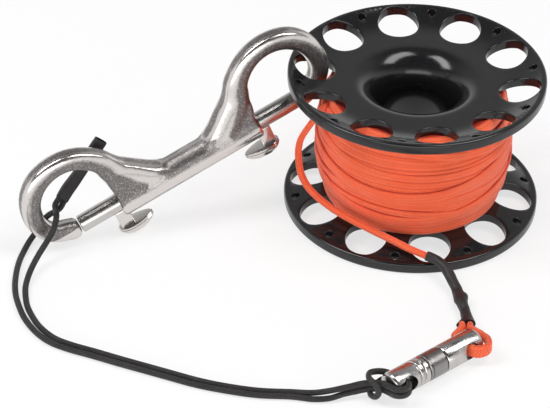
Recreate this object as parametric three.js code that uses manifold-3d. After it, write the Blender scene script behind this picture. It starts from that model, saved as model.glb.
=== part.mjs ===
// Finger spool with its line, a swivel, a cord lanyard and a double-ended bolt snap.
// Millimetres, +Z up. The spool stands on its lower flange, and the snap leans from the floor
// to a hole of the upper flange.

import * as THREE from "three";
import { mergeVertices } from "three/addons/utils/BufferGeometryUtils.js";
import Module from "manifold-3d";

const wasm = await Module();
wasm.setup();

// Driving dimensions

const seat = 0.3;            // gap kept between two pieces that touch
const overrun = 2;           // how far a cutting tool runs past the face that it cuts
const weld = 0.0001;         // vertices closer than this are one vertex

const spool = {
  radius: 43,
  height: 51.3,
  rimHeight: 3.7,
  rimWidth: 2,
  rimRound: 0.8,
  rimStep: 0.35,
  plate: 3,
  dish: 3.4,
  neckRadius: 13,
  flareHeight: 12,
  hubWall: 3,
  holeCount: 10,
  holePhase: 99.4,           // degrees, first hole from +X
  pinholeRadius: 1.4,
};

// Rings and holes of each flange, as shares of its radius
const flangeShares = {
  mouth: 0.51163,
  dish: 0.67442,
  hole: 0.16047,
  holePitch: 0.79884,
  pinholePitch: 0.92791,
};

const line = {
  diameter: 2.2,
  turns: 12.4,
  sway: 0.35,                // how far each turn rises and falls as it goes round
  middleRadius: 31.9,        // to the centre of the outer turns, half way up
  endRadius: 29.3,           // the same beside each flange
  leaveAngle: 180,           // degrees, where the free end leaves the winding
  hookOver: 1.4,             // bend where the outer turns dive into the core
};

const cord = { diameter: 1.8 };

const snap = {
  barrelRadius: 5.2,
  mouth: 26.8,               // from the middle of the snap to each mouth of its barrel
  eyeAlong: 39.2,            // centre of each eye, along the barrel
  eyeUp: 10.4,               // and away from the barrel's axis
  eyeRadius: 11.5,
  limb: 3.4,                 // half the thickness of the hook's limb
  web: 5.4,                  // half the width of the web where the limb leaves the barrel
  tip: 41.8,                 // end face of each hook
  tipRound: 1.4,
  boltRadius: 3.1,
  boltLength: 26.4,
  boltChamfer: 0.5,
  travel: 8,                 // how far each bolt pulls back
  wall: 1,                   // half of the wall between the two bores
  slotWidth: 3.6,
  heading: 24.2,             // degrees, of the barrel seen from above
  lean: 3.7,                 // degrees, of the hooks about the barrel
  inHoleAlong: 13.1,         // where the flange's hole stands, from the eye's centre
  inHoleDown: 2.4,
};

const knob = {
  pegRadius: 1.2,
  pegDepth: 2.8,             // how far the peg stands in the bolt
  stemLength: 5,
  stemWidth: 2.8,
  stemCorner: 0.6,
  plateTop: 9.4,             // below the bolt's axis
  plateLength: 13,
  plateWidth: 8,
  plateEdge: 0.9,
  plateDome: 3.2,
  stemAlong: 27.3,           // from the middle of the snap, bolt closed
  plateAlong: 24.4,
};

const spring = { wire: 0.7, radius: 2.5, curls: 7 };

const swivel = {
  radius: 4.5,
  length: 37,
  endRound: 1.2,
  holeRadius: 2.9,
  holeInset: 5.3,            // from each end
  holeTilt: 10,              // degrees above the floor
  stud: 9.6,                 // length of the eye that turns, to its shoulder
  neckRadius: 3.9,
  neckLength: 0.7,
  collar: 1.5,
  washer: 1.9,
  washerGroove: 0.4,
  cap: 7.1,
  capWall: 2,
  capBore: 3.6,
  shankRadius: 1.9,
  headRadius: 3.1,
  headLength: 1.8,
  spigot: 1.1,
  seamGroove: 0.35,
  endX: -8.8,                // where the turning eye ends, from the spool's axis
  endY: -107.4,
  heading: 41.4,             // degrees
};

// Points round each kind of piece

const facets = {
  spool: 42,
  hole: 14,
  pinhole: 6,
  core: 40,
  pit: 12,
  line: 6,
  sleeve: 12,
  swivel: 22,
  eyeHole: 20,
  barrel: 24,
  limb: 16,
  bore: 20,
  bolt: 20,
  plate: 16,
  peg: 10,
  wire: 5,
};

// Colours and finishes

const blackPlastic = { color: 0x0d0d0f, roughness: 0.22, metalness: 0 };
const orangeLine = { color: 0xff5a2c, roughness: 0.75, metalness: 0 };
const blackCord = { color: 0x1d1b1c, roughness: 0.8, metalness: 0 };
const shrinkTube = { color: 0x1f1c1d, roughness: 0.5, metalness: 0 };
const castSteel = { color: 0xcbc5c1, roughness: 0.3, metalness: 1 };
const polishedSteel = { color: 0xd6d2ce, roughness: 0.15, metalness: 1 };
const springSteel = { color: 0xa9a6a3, roughness: 0.35, metalness: 1 };

// Small helpers

const radians = THREE.MathUtils.degToRad;
const at = (x, y, z) => new THREE.Vector3(x, y, z);
const circle = Math.PI * 2;

/** Six times the volume that a triangle list encloses, signed. */
function signedVolume(position, index) {
  const a = at(0, 0, 0);
  const b = at(0, 0, 0);
  const c = at(0, 0, 0);
  let sum = 0;
  for (let i = 0; i < index.length; i += 3) {
    a.fromBufferAttribute(position, index[i]);
    b.fromBufferAttribute(position, index[i + 1]);
    c.fromBufferAttribute(position, index[i + 2]);
    sum += a.dot(b.cross(c));
  }
  return sum;
}

/** The same surface with shared vertices, no flat triangles, and its faces out. */
function tidy(geometry) {
  const bare = geometry.clone();
  bare.deleteAttribute("normal");
  bare.deleteAttribute("uv");
  const merged = mergeVertices(bare, weld);
  const source = merged.index.array;
  const index = [];
  for (let i = 0; i < source.length; i += 3) {
    const [a, b, c] = [source[i], source[i + 1], source[i + 2]];
    if (a !== b && b !== c && c !== a) index.push(a, b, c);
  }
  if (signedVolume(merged.attributes.position, index) < 0) index.reverse();
  merged.setIndex(index);
  return merged;
}

function solid(geometry) {
  const closed = tidy(geometry);
  return new wasm.Manifold(new wasm.Mesh({
    numProp: 3,
    vertProperties: new Float32Array(closed.attributes.position.array),
    triVerts: new Uint32Array(closed.index.array),
  }));
}

function surface(manifold) {
  const mesh = manifold.getMesh();
  const geometry = new THREE.BufferGeometry();
  geometry.setAttribute("position", new THREE.BufferAttribute(mesh.vertProperties, mesh.numProp));
  geometry.setIndex(new THREE.BufferAttribute(mesh.triVerts, 1));
  return geometry;
}

/** Base geometry less every cutter. */
function cut(base, cutters) {
  return surface(cutters.reduce((left, cutter) => left.subtract(solid(cutter)), solid(base)));
}

function join(first, others) {
  return surface(others.reduce((sum, other) => sum.add(solid(other)), solid(first)));
}

/** Closed skin through rings of equally many points, with a flat cap on each end. */
function loft(rings) {
  const sides = rings[0].length;
  const index = [];
  for (let k = 0; k + 1 < rings.length; k += 1) {
    for (let i = 0; i < sides; i += 1) {
      const a = k * sides + i;
      const b = k * sides + (i + 1) % sides;
      index.push(a, b, a + sides, b, b + sides, a + sides);
    }
  }
  const last = (rings.length - 1) * sides;
  for (let i = 1; i + 1 < sides; i += 1) {
    index.push(0, i + 1, i, last, last + i, last + i + 1);
  }
  const geometry = new THREE.BufferGeometry().setFromPoints(rings.flat());
  geometry.setIndex(index);
  return geometry;
}

/** Frames carried along a list of points without twist, starting from a side direction. */
function frames(points, side) {
  const across = side.clone();
  return points.map((point, k) => {
    const before = points[Math.max(k - 1, 0)];
    const after = points[Math.min(k + 1, points.length - 1)];
    const ahead = after.clone().sub(before).normalize();
    across.addScaledVector(ahead, -across.dot(ahead)).normalize();
    return { point, across: across.clone(), up: ahead.cross(across).normalize() };
  });
}

/** Tube through points, with a half width and a half height at each of them. */
function tube(points, sides, halfWidthAt, halfHeightAt, side) {
  const rings = frames(points, side).map(({ point, across, up }, k) => {
    return Array.from({ length: sides }, (_, i) => {
      const turn = circle * i / sides;
      return point.clone()
        .addScaledVector(across, halfWidthAt(k) * Math.cos(turn))
        .addScaledVector(up, halfHeightAt(k) * Math.sin(turn));
    });
  });
  return loft(rings);
}

/** Round rod along a hand-placed route, with so many steps to a diameter's length. */
function rod(route, diameter, stepsPerDiameter) {
  const path = new THREE.CatmullRomCurve3(route.map((p) => at(...p)), false, "centripetal");
  const round = new THREE.Path().absarc(0, 0, diameter / 2, 0, circle);
  const section = new THREE.Shape(round.getPoints(4).slice(0, -1));
  const steps = Math.ceil(path.getLength() / diameter * stepsPerDiameter);
  return new THREE.ExtrudeGeometry(section, { steps, bevelEnabled: false, extrudePath: path });
}

/** Solid of revolution about Z from a closed profile of [radius, height] points. */
function turned(profile, segments) {
  const points = [...profile, profile[0]].map(([r, z]) => new THREE.Vector2(r, z));
  return new THREE.LatheGeometry(points, segments).rotateX(Math.PI / 2);
}

/** Solid of revolution about X. */
function turnedAlong(profile, segments) {
  return turned(profile, segments).rotateY(Math.PI / 2);
}

/** Cylinder that stands on Z between two heights. */
function pillar(radius, low, high, sides) {
  return new THREE.CylinderGeometry(radius, radius, high - low, sides)
    .rotateX(Math.PI / 2).translate(0, 0, (low + high) / 2);
}

const meshes = [];

function piece(name, geometry, finish) {
  const mesh = new THREE.Mesh(tidy(geometry), new THREE.MeshStandardMaterial(finish));
  mesh.name = name;
  meshes.push(mesh);
  return mesh;
}

// Spool: two like halves, each a dished flange with ten holes and half of the flared finger
// bore, which meet at the middle of the hub, under the line

const flatTop = spool.height - spool.dish;               // outer face of the flange's flat middle
const innerFace = flatTop - spool.plate;                 // face that the line is wound against
const hubRadius = spool.neckRadius + spool.hubWall;
const seam = (spool.height + seat) / 2;                  // foot of the upper half, where it meets the lower
const rimInner = spool.radius - spool.rimWidth;
const mouthRadius = spool.radius * flangeShares.mouth;
const dishRadius = spool.radius * flangeShares.dish;
const holeRadius = spool.radius * flangeShares.hole;
const holePitchRadius = spool.radius * flangeShares.holePitch;
const pinholePitchRadius = spool.radius * flangeShares.pinholePitch;

/** Share of the way up the dish at a radius: flat in the middle and steepest at the rim. */
function dishRise(radius) {
  const share = (radius - dishRadius) / (rimInner - dishRadius);
  return THREE.MathUtils.clamp(share, 0, 1) ** 2;
}

/** Profile of the upper half: up the bore, out over the flange, round its rim and back to the hub. */
function halfProfile() {
  const profile = [[spool.neckRadius, seam]];
  const flareSteps = 4;
  const dishSteps = 3;
  const roundSteps = 2;
  for (let k = 0; k <= flareSteps; k += 1) {
    const turn = Math.PI / 2 * k / flareSteps;
    const radius = mouthRadius - (mouthRadius - spool.neckRadius) * Math.cos(turn);
    profile.push([radius, flatTop - spool.flareHeight + spool.flareHeight * Math.sin(turn)]);
  }
  const outerRise = spool.dish - spool.rimStep;
  for (let k = 0; k <= dishSteps; k += 1) {
    const radius = dishRadius + (rimInner - dishRadius) * k / dishSteps;
    profile.push([radius, flatTop + outerRise * dishRise(radius)]);
  }
  profile.push([rimInner + spool.rimStep, spool.height]);
  const corner = spool.radius - spool.rimRound;
  const rimTop = spool.height - spool.rimRound;
  const rimFoot = spool.height - spool.rimHeight + spool.rimRound;
  for (const [centre, start] of [[rimTop, 1], [rimFoot, 0]]) {
    for (let k = 0; k <= roundSteps; k += 1) {
      const turn = Math.PI / 2 * (start - k / roundSteps);
      profile.push([corner + spool.rimRound * Math.cos(turn), centre + spool.rimRound * Math.sin(turn)]);
    }
  }
  const innerRise = spool.height - spool.rimHeight - innerFace;
  for (let k = dishSteps; k >= 0; k -= 1) {
    const radius = dishRadius + (rimInner - dishRadius) * k / dishSteps;
    profile.push([radius, innerFace + innerRise * dishRise(radius)]);
  }
  profile.push([hubRadius, innerFace], [hubRadius, seam]);
  return profile;
}

function holeTools() {
  const low = -overrun;
  const high = spool.height + overrun;
  const tools = [];
  for (let k = 0; k < spool.holeCount; k += 1) {
    const turn = radians(spool.holePhase) + circle * k / spool.holeCount;
    const between = turn + circle / spool.holeCount / 2;
    tools.push(pillar(holeRadius, low, high, facets.hole)
      .translate(holePitchRadius * Math.cos(turn), holePitchRadius * Math.sin(turn), 0));
    tools.push(pillar(spool.pinholeRadius, low, high, facets.pinhole)
      .translate(pinholePitchRadius * Math.cos(between), pinholePitchRadius * Math.sin(between), 0));
  }
  return tools;
}

const upperProfile = halfProfile();
const lowerProfile = upperProfile.map(([r, z]) => [r, spool.height - z]).reverse();
const spoolUpper = piece("spool_upper", cut(turned(upperProfile, facets.spool), holeTools()), blackPlastic);
const spoolLower = piece("spool_lower", cut(turned(lowerProfile, facets.spool), holeTools()), blackPlastic);

// Line: a plain wound core, and the outer layer as one unbroken tube

const windLow = spool.height - innerFace + seat + line.diameter / 2 + line.sway;
const windHigh = innerFace - seat - line.diameter / 2 - line.sway;
const windMiddle = (windLow + windHigh) / 2;

const stepsPerTurn = 24;

/** Radius of the outer turns' centres at a height: fullest half way up. */
function windRadius(z) {
  const share = (z - windMiddle) / (windHigh - windMiddle);
  return line.middleRadius - (line.middleRadius - line.endRadius) * Math.min(share * share, 1);
}

/** Radius of the core, a gap below the straight steps of the outer turns. */
function coreRadius(z) {
  const share = THREE.MathUtils.clamp((z - windMiddle) / (windHigh - windMiddle), -1, 1);
  const slope = 2 * share * (line.middleRadius - line.endRadius) / (windHigh - windMiddle);
  const chord = Math.cos(Math.PI / stepsPerTurn);
  return windRadius(z) * chord - (line.diameter / 2 + seat) * Math.hypot(1, slope);
}

const leaveTurn = radians(line.leaveAngle);
const startTurn = leaveTurn - line.turns * circle;

function windPoint(share) {
  const turn = startTurn + (leaveTurn - startTurn) * share;
  const z = windLow + (windHigh - windLow) * share + line.sway * Math.sin(turn);
  const r = windRadius(z);
  return at(r * Math.cos(turn), r * Math.sin(turn), z);
}

function windingPath() {
  const steps = Math.round(line.turns * stepsPerTurn);
  const points = [];
  const first = windPoint(0);
  const outward = at(Math.cos(startTurn), Math.sin(startTurn), 0);
  const onward = at(-Math.sin(startTurn), Math.cos(startTurn), 0);
  const bend = line.hookOver;
  points.push(first.clone().addScaledVector(outward, -bend - line.diameter).addScaledVector(onward, -bend));
  points.push(first.clone().addScaledVector(outward, -bend).addScaledVector(onward, -bend));
  const bendSteps = 3;
  for (let k = 1; k < bendSteps; k += 1) {
    const turn = Math.PI / 2 * k / bendSteps;
    points.push(first.clone()
      .addScaledVector(outward, -bend * (1 - Math.sin(turn)))
      .addScaledVector(onward, -bend * Math.cos(turn)));
  }
  for (let k = 0; k <= steps; k += 1) points.push(windPoint(k / steps));
  const last = points[points.length - 1];
  const ahead = at(-Math.sin(leaveTurn), Math.cos(leaveTurn), 0);
  points.push(last.clone().addScaledVector(ahead, line.diameter));
  return points;
}

const winding = windingPath();

/** Least gap of a wound tube to itself, between points that lie half a turn or more apart. */
function leastGap(points, diameter, skip) {
  let least = Infinity;
  for (let i = 0; i < points.length; i += 1) {
    for (let j = i + skip; j < points.length; j += 1) {
      least = Math.min(least, points[i].distanceTo(points[j]) - diameter);
    }
  }
  return least;
}

const windingGap = leastGap(winding, line.diameter, stepsPerTurn / 2);
console.log(`least gap in the winding ${windingGap.toFixed(2)} mm`);

function coreSolid() {
  const low = spool.height - innerFace + seat;
  const high = innerFace - seat;
  const steps = 6;
  const profile = [[hubRadius + seat, low]];
  for (let k = 0; k <= steps; k += 1) {
    const z = low + (high - low) * k / steps;
    profile.push([coreRadius(z), z]);
  }
  profile.push([hubRadius + seat, high]);
  const mouth = winding[0].clone().lerp(winding[1], 0.5);
  const socket = line.diameter / 2 + seat * 1.5;
  const pitLength = line.diameter * 3;
  const pit = new THREE.CylinderGeometry(socket, socket, pitLength, facets.pit)
    .rotateZ(Math.PI / 2).translate(pitLength / 2, 0, 0)
    .rotateZ(startTurn);
  const floor = winding[0].clone().addScaledVector(at(Math.cos(startTurn), Math.sin(startTurn), 0), -seat);
  pit.translate(floor.x, floor.y, mouth.z);
  return cut(turned(profile, facets.core), [pit]);
}

const lineCore = piece("line_core", coreSolid(), orangeLine);
const half = line.diameter / 2;
const windingTube = tube(winding, facets.line, () => half, () => half, at(0, 0, 1));
const lineWinding = piece("line_winding", windingTube, orangeLine);

// Free line: from the last turn, down the front and over the lower rim

const tailStart = winding[winding.length - 1];
const tailRoute = [
  [tailStart.x, tailStart.y - seat, tailStart.z],
  [-29.5, -5.6, 43.2],
  [-30.8, -8.8, 42.2],
  [-32.9, -11.6, 40.6],
  [-34.9, -13.4, 38.4],
  [-37.8, -14.4, 33.4],
  [-38.6, -13.9, 28.6],
  [-38.4, -13.6, 24.0],
  [-37.3, -14.4, 18.5],
  [-34.5, -16.7, 14.5],
  [-27.0, -23.2, 11.6],
  [-15.6, -31.6, 10.2],
  [-7.0, -35.8, 8.4],
  [-1.4, -38.6, 7.2],
  [4.6, -41.4, 6.3],
];
const lineTail = piece("line_tail", rod(tailRoute, line.diameter, 0.6), orangeLine);

// Shrunk sleeve over the knot, which lies over the lower rim and down to the floor

const lineSleeveRoute = [
  [4.88, -41.53, 6.26, 1.3],
  [7.5, -42.75, 5.87, 1.6],
  [10.2, -45.4, 5.2, 1.7],
  [12.3, -49.2, 3.8, 1.75],
  [13.7, -52.8, 2.5, 1.8],
  [14.6, -56.0, 2.2, 1.85],
  [15.3, -58.5, 2.4, 2.25],
  [15.9, -61.6, 2.2, 1.85],
  [16.5, -65.0, 1.8, 1.6],
  [16.9, -69.0, 1.9, 1.75],
  [16.6, -72.1, 2.5, 2.4],
];

/** Skin round a route of points that each have a half width; the height is a share of it. */
function sleeve(route, flatness, side) {
  const points = route.map(([x, y, z]) => at(x, y, z));
  const halfHeightAt = (k) => route[k][3] * flatness;
  return tube(points, facets.sleeve, (k) => route[k][3], halfHeightAt, side);
}

const lineSleeve = piece("line_sleeve", sleeve(lineSleeveRoute, 1, at(1, 0, 0)), shrinkTube);

// Swivel: X along it from the turning eye, Z up from the floor

const swivelGroup = new THREE.Group();
swivelGroup.position.set(swivel.endX, swivel.endY, 0);
swivelGroup.rotation.z = radians(swivel.heading);

/** Profile of a plain round end of an eye, from its tip inwards, as [radius, along]. */
function roundEnd(start, direction) {
  const steps = 3;
  const points = [[0, start]];
  for (let k = 0; k <= steps; k += 1) {
    const turn = Math.PI / 2 * k / steps;
    const radius = swivel.radius - swivel.endRound * (1 - Math.sin(turn));
    points.push([radius, start + direction * swivel.endRound * (1 - Math.cos(turn))]);
  }
  return points;
}

function crossHole(along) {
  const reach = swivel.radius + overrun;
  return pillar(swivel.holeRadius, -reach, reach, facets.eyeHole)
    .rotateX(Math.PI / 2 - radians(swivel.holeTilt)).translate(along, 0, swivel.radius);
}

function lifted(geometry) {
  return geometry.translate(0, 0, swivel.radius);
}

const collarEnd = swivel.stud + swivel.neckLength + swivel.collar;
const washerStart = collarEnd + seat;
const washerEnd = washerStart + swivel.washer;
const capStart = washerEnd + seat;
const capEnd = capStart + swivel.cap;
const headStart = capStart + swivel.capWall + seat;
const headEnd = headStart + swivel.headLength;
const bodyStart = capEnd + seat;

const eyeProfile = [
  ...roundEnd(0, 1),
  [swivel.radius, swivel.stud],
  [swivel.neckRadius, swivel.stud + swivel.neckLength / 3],
  [swivel.neckRadius, swivel.stud + swivel.neckLength * 2 / 3],
  [swivel.radius, swivel.stud + swivel.neckLength],
  [swivel.radius, collarEnd],
  [swivel.shankRadius, collarEnd],
  [swivel.shankRadius, headStart],
  [swivel.headRadius, headStart],
  [swivel.headRadius, headEnd],
  [0, headEnd],
];
const washerProfile = [
  [swivel.shankRadius + seat, washerStart],
  [swivel.radius - swivel.washerGroove, washerStart],
  [swivel.radius, washerStart + swivel.washerGroove],
  [swivel.radius, washerEnd - swivel.washerGroove],
  [swivel.radius - swivel.washerGroove, washerEnd],
  [swivel.shankRadius + seat, washerEnd],
];
const capProfile = [
  [swivel.shankRadius + seat, capStart],
  [swivel.radius, capStart],
  [swivel.radius, capEnd - swivel.seamGroove],
  [swivel.radius - swivel.seamGroove, capEnd],
  [swivel.capBore, capEnd],
  [swivel.capBore, capStart + swivel.capWall],
  [swivel.shankRadius + seat, capStart + swivel.capWall],
];
const bodyProfile = [
  [0, bodyStart - swivel.spigot],
  [swivel.capBore - seat, bodyStart - swivel.spigot],
  [swivel.capBore - seat, bodyStart],
  [swivel.radius - swivel.seamGroove, bodyStart],
  [swivel.radius, bodyStart + swivel.seamGroove],
  ...roundEnd(swivel.length, -1).reverse(),
];
const onFloor = (profile) => lifted(turnedAlong(profile, facets.swivel));
const farHole = swivel.length - swivel.holeInset;
swivelGroup.add(
  piece("swivel_eye", cut(onFloor(eyeProfile), [crossHole(swivel.holeInset)]), polishedSteel),
  piece("swivel_washer", onFloor(washerProfile), polishedSteel),
  piece("swivel_cap", onFloor(capProfile), polishedSteel),
  piece("swivel_body", cut(onFloor(bodyProfile), [crossHole(farHole)]), polishedSteel),
);

// Loop of line through the swivel's far eye, in the swivel's own axes

const loopRoute = [
  [43.0, 8.54, 2.57], [41.28, 6.93, 3.02], [40.6, 3.9, 3.9], [40.0, 0.2, 4.9], [39.0, -3.6, 5.3],
  [36.4, -6.1, 5.4], [33.2, -5.1, 5.1], [32.0, -1.0, 4.6], [32.1, 3.0, 4.0], [34.0, 6.4, 3.3],
  [37.2, 7.6, 3.1], [39.58, 8.75, 3.02], [41.3, 10.36, 2.57],
];

// Cow hitch of the lanyard through the turning eye, in the swivel's own axes

const hitchRoute = [
  [-8.5, 7.5, 4.6], [-5.6, 6.1, 4.9], [-3.2, 4.4, 5.1], [-1.6, 1.8, 5.6], [-1.3, -1.5, 6.2],
  [-0.8, -4.5, 6.7], [1.4, -5.9, 6.8], [4.0, -4.6, 6.4], [4.6, -0.7, 5.8], [4.6, 3.2, 5.2],
  [3.2, 6.3, 5.1], [0.6, 7.2, 5.9], [-2.0, 7.1, 6.6], [-4.2, 4.9, 7.2], [-4.5, 2.0, 6.8],
  [-4.2, 0.6, 5.6], [-4.2, 0.3, 3.8], [-4.5, 1.2, 2.2], [-4.2, 3.9, 1.2], [-2.0, 5.9, 1.1],
  [0.6, 6.4, 1.6], [3.1, 5.9, 2.4], [4.5, 2.8, 3.0], [4.5, -1.1, 3.7], [4.0, -4.9, 4.4],
  [1.4, -6.1, 4.6], [-0.8, -4.9, 4.5], [-1.3, -1.9, 4.0], [-1.6, 1.4, 3.4], [-3.2, 4.0, 3.0],
  [-5.6, 5.7, 2.7], [-8.5, 7.1, 2.4],
];
swivelGroup.add(
  piece("line_loop", rod(loopRoute, line.diameter, 1), orangeLine),
  piece("lanyard_hitch", rod(hitchRoute, cord.diameter, 0.85), blackCord),
);

// Lanyard: two strands that lie on the floor from the hitch to the snap's lower eye

const backStrandRoute = [
  [-20.45, -107.49, 4.57], [-23.3, -108.28, 4.29], [-27.5, -108.4, 3.1], [-32.5, -107.6, 1.5],
  [-38.9, -106.9, 1.0], [-49.8, -106.6, 1.0], [-60.8, -104.6, 1.0], [-68.5, -102.4, 1.0],
  [-76.6, -99.3, 1.0], [-84.8, -96.1, 1.0], [-93.0, -92.9, 1.0], [-101.3, -89.5, 1.0],
  [-109.2, -86.4, 1.0], [-114.4, -83.6, 1.0], [-118.0, -80.2, 1.0], [-120.8, -76.4, 1.0],
  [-123.0, -72.0, 1.0], [-124.7, -67.6, 1.0], [-125.7, -62.8, 1.0], [-126.2, -57.5, 1.4],
  [-125.7, -52.6, 2.0], [-124.7, -48.6, 3.0], [-122.9, -44.4, 4.8], [-120.5, -40.8, 7.4],
  [-118.6, -39.0, 10.4], [-117.7, -37.4, 13.0], [-117.6, -35.0, 14.3], [-118.0, -32.3, 14.2],
  [-118.39, -29.98, 14.71], [-117.25, -28.56, 16.27],
];
const frontStrandRoute = [
  [-20.18, -107.79, 2.37], [-23.1, -108.6, 2.09], [-27.0, -109.7, 1.3], [-32.0, -110.1, 1.0],
  [-38.9, -109.2, 1.0], [-49.8, -108.9, 1.0], [-60.8, -106.9, 1.0], [-69.3, -104.6, 1.0],
  [-77.5, -101.5, 1.0], [-85.7, -98.3, 1.0], [-94.0, -95.1, 1.0], [-102.3, -91.7, 1.0],
  [-110.3, -88.6, 1.0], [-116.0, -85.5, 1.0], [-120.0, -81.7, 1.0], [-123.0, -77.5, 1.0],
  [-125.5, -72.8, 1.0], [-127.4, -67.6, 1.0], [-128.9, -62.2, 1.0], [-129.7, -56.8, 1.0],
  [-129.9, -50.0, 1.0], [-129.5, -43.7, 1.0], [-128.4, -37.6, 1.0], [-126.9, -32.6, 1.5],
  [-124.9, -29.8, 3.4], [-122.8, -29.3, 7.4], [-120.5, -29.3, 10.1], [-118.4, -30.0, 12.0],
  [-116.77, -29.82, 13.38], [-115.63, -28.4, 14.94],
];
const strandSteps = 0.4;
const backStrandRod = rod(backStrandRoute, cord.diameter, strandSteps);
const frontStrandRod = rod(frontStrandRoute, cord.diameter, strandSteps);
const backStrand = piece("lanyard_strand_back", backStrandRod, blackCord);
const frontStrand = piece("lanyard_strand_front", frontStrandRod, blackCord);

// Shrunk sleeve that closes the lanyard, behind the snap; it lies flat

const lanyardSleeveRoute = [
  [-116.3, -28.3, 15.8, 2.0],
  [-114.7, -26.3, 18.0, 2.0],
  [-112.5, -24.0, 20.4, 2.0],
  [-110.0, -21.6, 23.4, 2.0],
  [-107.1, -19.6, 27.8, 2.1],
  [-103.8, -17.9, 32.8, 2.2],
];
const lanyardFlatness = 0.55;
const lanyardTube = sleeve(lanyardSleeveRoute, lanyardFlatness, at(-1, 0, 1));
const lanyardSleeve = piece("lanyard_sleeve", lanyardTube, shrinkTube);

// Snap: X along its barrel to the upper hook, Z to the side of both hooks, Y to the back

// Root of a hook's limb: place along from the crotch, place up and half thickness as shares of
// the barrel's radius, with half width third, as a share of the web's
const rootShares = [
  [-2.6, 0, 0.847, 0.9],
  [-1.55, 0.62, 0.924, 0.9],
  [-0.65, 1.3, 1, 0.88],
  [0.14, 2.08, 0.96, 0.85],
];

// Limb round its eye: degrees from the barrel's direction, then place outside the eye's ring,
// half width and half thickness as shares of the limb
const ringShares = [
  [163, 0.15, 1.28, 1.16],
  [150, 0.15, 1.14, 1.08],
  [135, 0.08, 1.04, 1.03],
  [120, 0.08, 1, 1],
  [105, 0.12, 0.97, 1],
  [90, 0.15, 0.97, 1],
  [75, 0.18, 1, 1],
  [60, 0.2, 1.04, 1],
  [45, 0.17, 1.04, 1],
  [30, 0.1, 1.02, 1],
  [15, 0, 1, 1],
  [0, -0.05, 0.98, 1],
  [-15, -0.16, 0.95, 0.98],
  [-30, -0.38, 0.93, 0.97],
  [-43, -0.68, 0.93, 0.96],
  [-55, -0.95, 0.95, 0.95],
];

// Tip: place beyond its face as a share of its rounding, then place up, half width and half
// thickness as shares of the limb
const tipShares = [
  [2.4, 0.12, 0.96, 0.94],
  [1, 0, 0.92, 0.9],
  [0.3, 0, 0.78, 0.78],
  [0, 0, 0.55, 0.55],
];

/** Stations of the upper limb: place along and up, half width in the plane, half thickness. */
function limbStations() {
  const { limb, barrelRadius } = snap;
  const crotch = snap.mouth - barrelRadius;
  const root = rootShares.map(([along, up, width, thickness]) => {
    return [crotch + along * barrelRadius, up * barrelRadius, width * snap.web, thickness * barrelRadius];
  });
  const ring = ringShares.map(([degrees, out, width, thickness]) => {
    const turn = radians(degrees);
    const radius = snap.eyeRadius + limb + out * limb;
    const along = snap.eyeAlong + radius * Math.cos(turn);
    const up = snap.eyeUp + radius * Math.sin(turn);
    return [along, up, width * limb, thickness * limb];
  });
  const tip = tipShares.map(([beyond, up, width, thickness]) => {
    return [snap.tip + beyond * snap.tipRound, up * limb, width * limb, thickness * limb];
  });
  return [...root, ...ring, ...tip];
}

const castFullness = 0.86;   // 1 is an ellipse, and less has squarer shoulders

/** Section of the casting: an oval with fuller shoulders than an ellipse. */
function castSection(centre, across, thickness, halfWidth, halfThickness) {
  const full = (value) => Math.sign(value) * Math.abs(value) ** castFullness;
  return Array.from({ length: facets.limb }, (_, i) => {
    const turn = circle * i / facets.limb;
    return centre.clone()
      .addScaledVector(across, halfWidth * full(Math.cos(turn)))
      .addScaledVector(thickness, halfThickness * full(Math.sin(turn)));
  });
}

function hookLimb(direction) {
  const stations = limbStations();
  const centres = stations.map(([along, up]) => at(direction * along, 0, up));
  const depth = at(0, 1, 0);
  const rings = stations.map(([, , halfWidth, halfThickness], k) => {
    const before = centres[Math.max(k - 1, 0)];
    const after = centres[Math.min(k + 1, centres.length - 1)];
    const ahead = after.clone().sub(before).normalize();
    const across = ahead.clone().cross(depth);
    return castSection(centres[k], across, depth, halfWidth, halfThickness);
  });
  return loft(rings);
}

function boreTool(direction) {
  const radius = snap.boltRadius + seat;
  const length = snap.mouth + overrun - snap.wall;
  return new THREE.CylinderGeometry(radius, radius, length, facets.bore)
    .rotateZ(Math.PI / 2).translate(direction * (snap.wall + length / 2), 0, 0);
}

function slotTool(direction) {
  const inner = knob.stemAlong - knob.stemLength / 2 - snap.travel - seat;
  const outer = snap.mouth + overrun;
  const depth = snap.barrelRadius + overrun;
  return new THREE.BoxGeometry(outer - inner, snap.slotWidth, depth)
    .translate(direction * (inner + outer) / 2, 0, -depth / 2);
}

function barrel() {
  const end = snap.mouth;
  const round = snap.tipRound / 2;
  const profile = [
    [0, -end],
    [snap.barrelRadius - round, -end],
    [snap.barrelRadius, -end + round],
    [snap.barrelRadius, end - round],
    [snap.barrelRadius - round, end],
    [0, end],
  ];
  return turnedAlong(profile, facets.barrel);
}

function snapCasting() {
  const cast = join(barrel(), [hookLimb(1), hookLimb(-1)]);
  return cut(cast, [boreTool(1), boreTool(-1), slotTool(1), slotTool(-1)]);
}

const boltTip = snap.tip - seat;
const boltEnd = boltTip - snap.boltLength;

/** Bolt of one side: a chamfered rod with a blind hole for its thumb knob's peg. */
function bolt(direction) {
  const { boltRadius, boltChamfer } = snap;
  const profile = [
    [0, boltEnd],
    [boltRadius - boltChamfer, boltEnd],
    [boltRadius, boltEnd + boltChamfer],
    [boltRadius, boltTip - boltChamfer],
    [boltRadius - boltChamfer, boltTip],
    [0, boltTip],
  ];
  const floor = knob.pegDepth - boltRadius + seat;
  const hole = pillar(knob.pegRadius + seat, -boltRadius - overrun, floor, facets.peg)
    .translate(knob.stemAlong, 0, 0);
  const made = cut(turnedAlong(profile, facets.bolt), [hole]);
  return direction > 0 ? made : made.rotateZ(Math.PI);
}

const plateTaper = 0.2;      // share of its width that the plate loses towards each side of its middle

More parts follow.
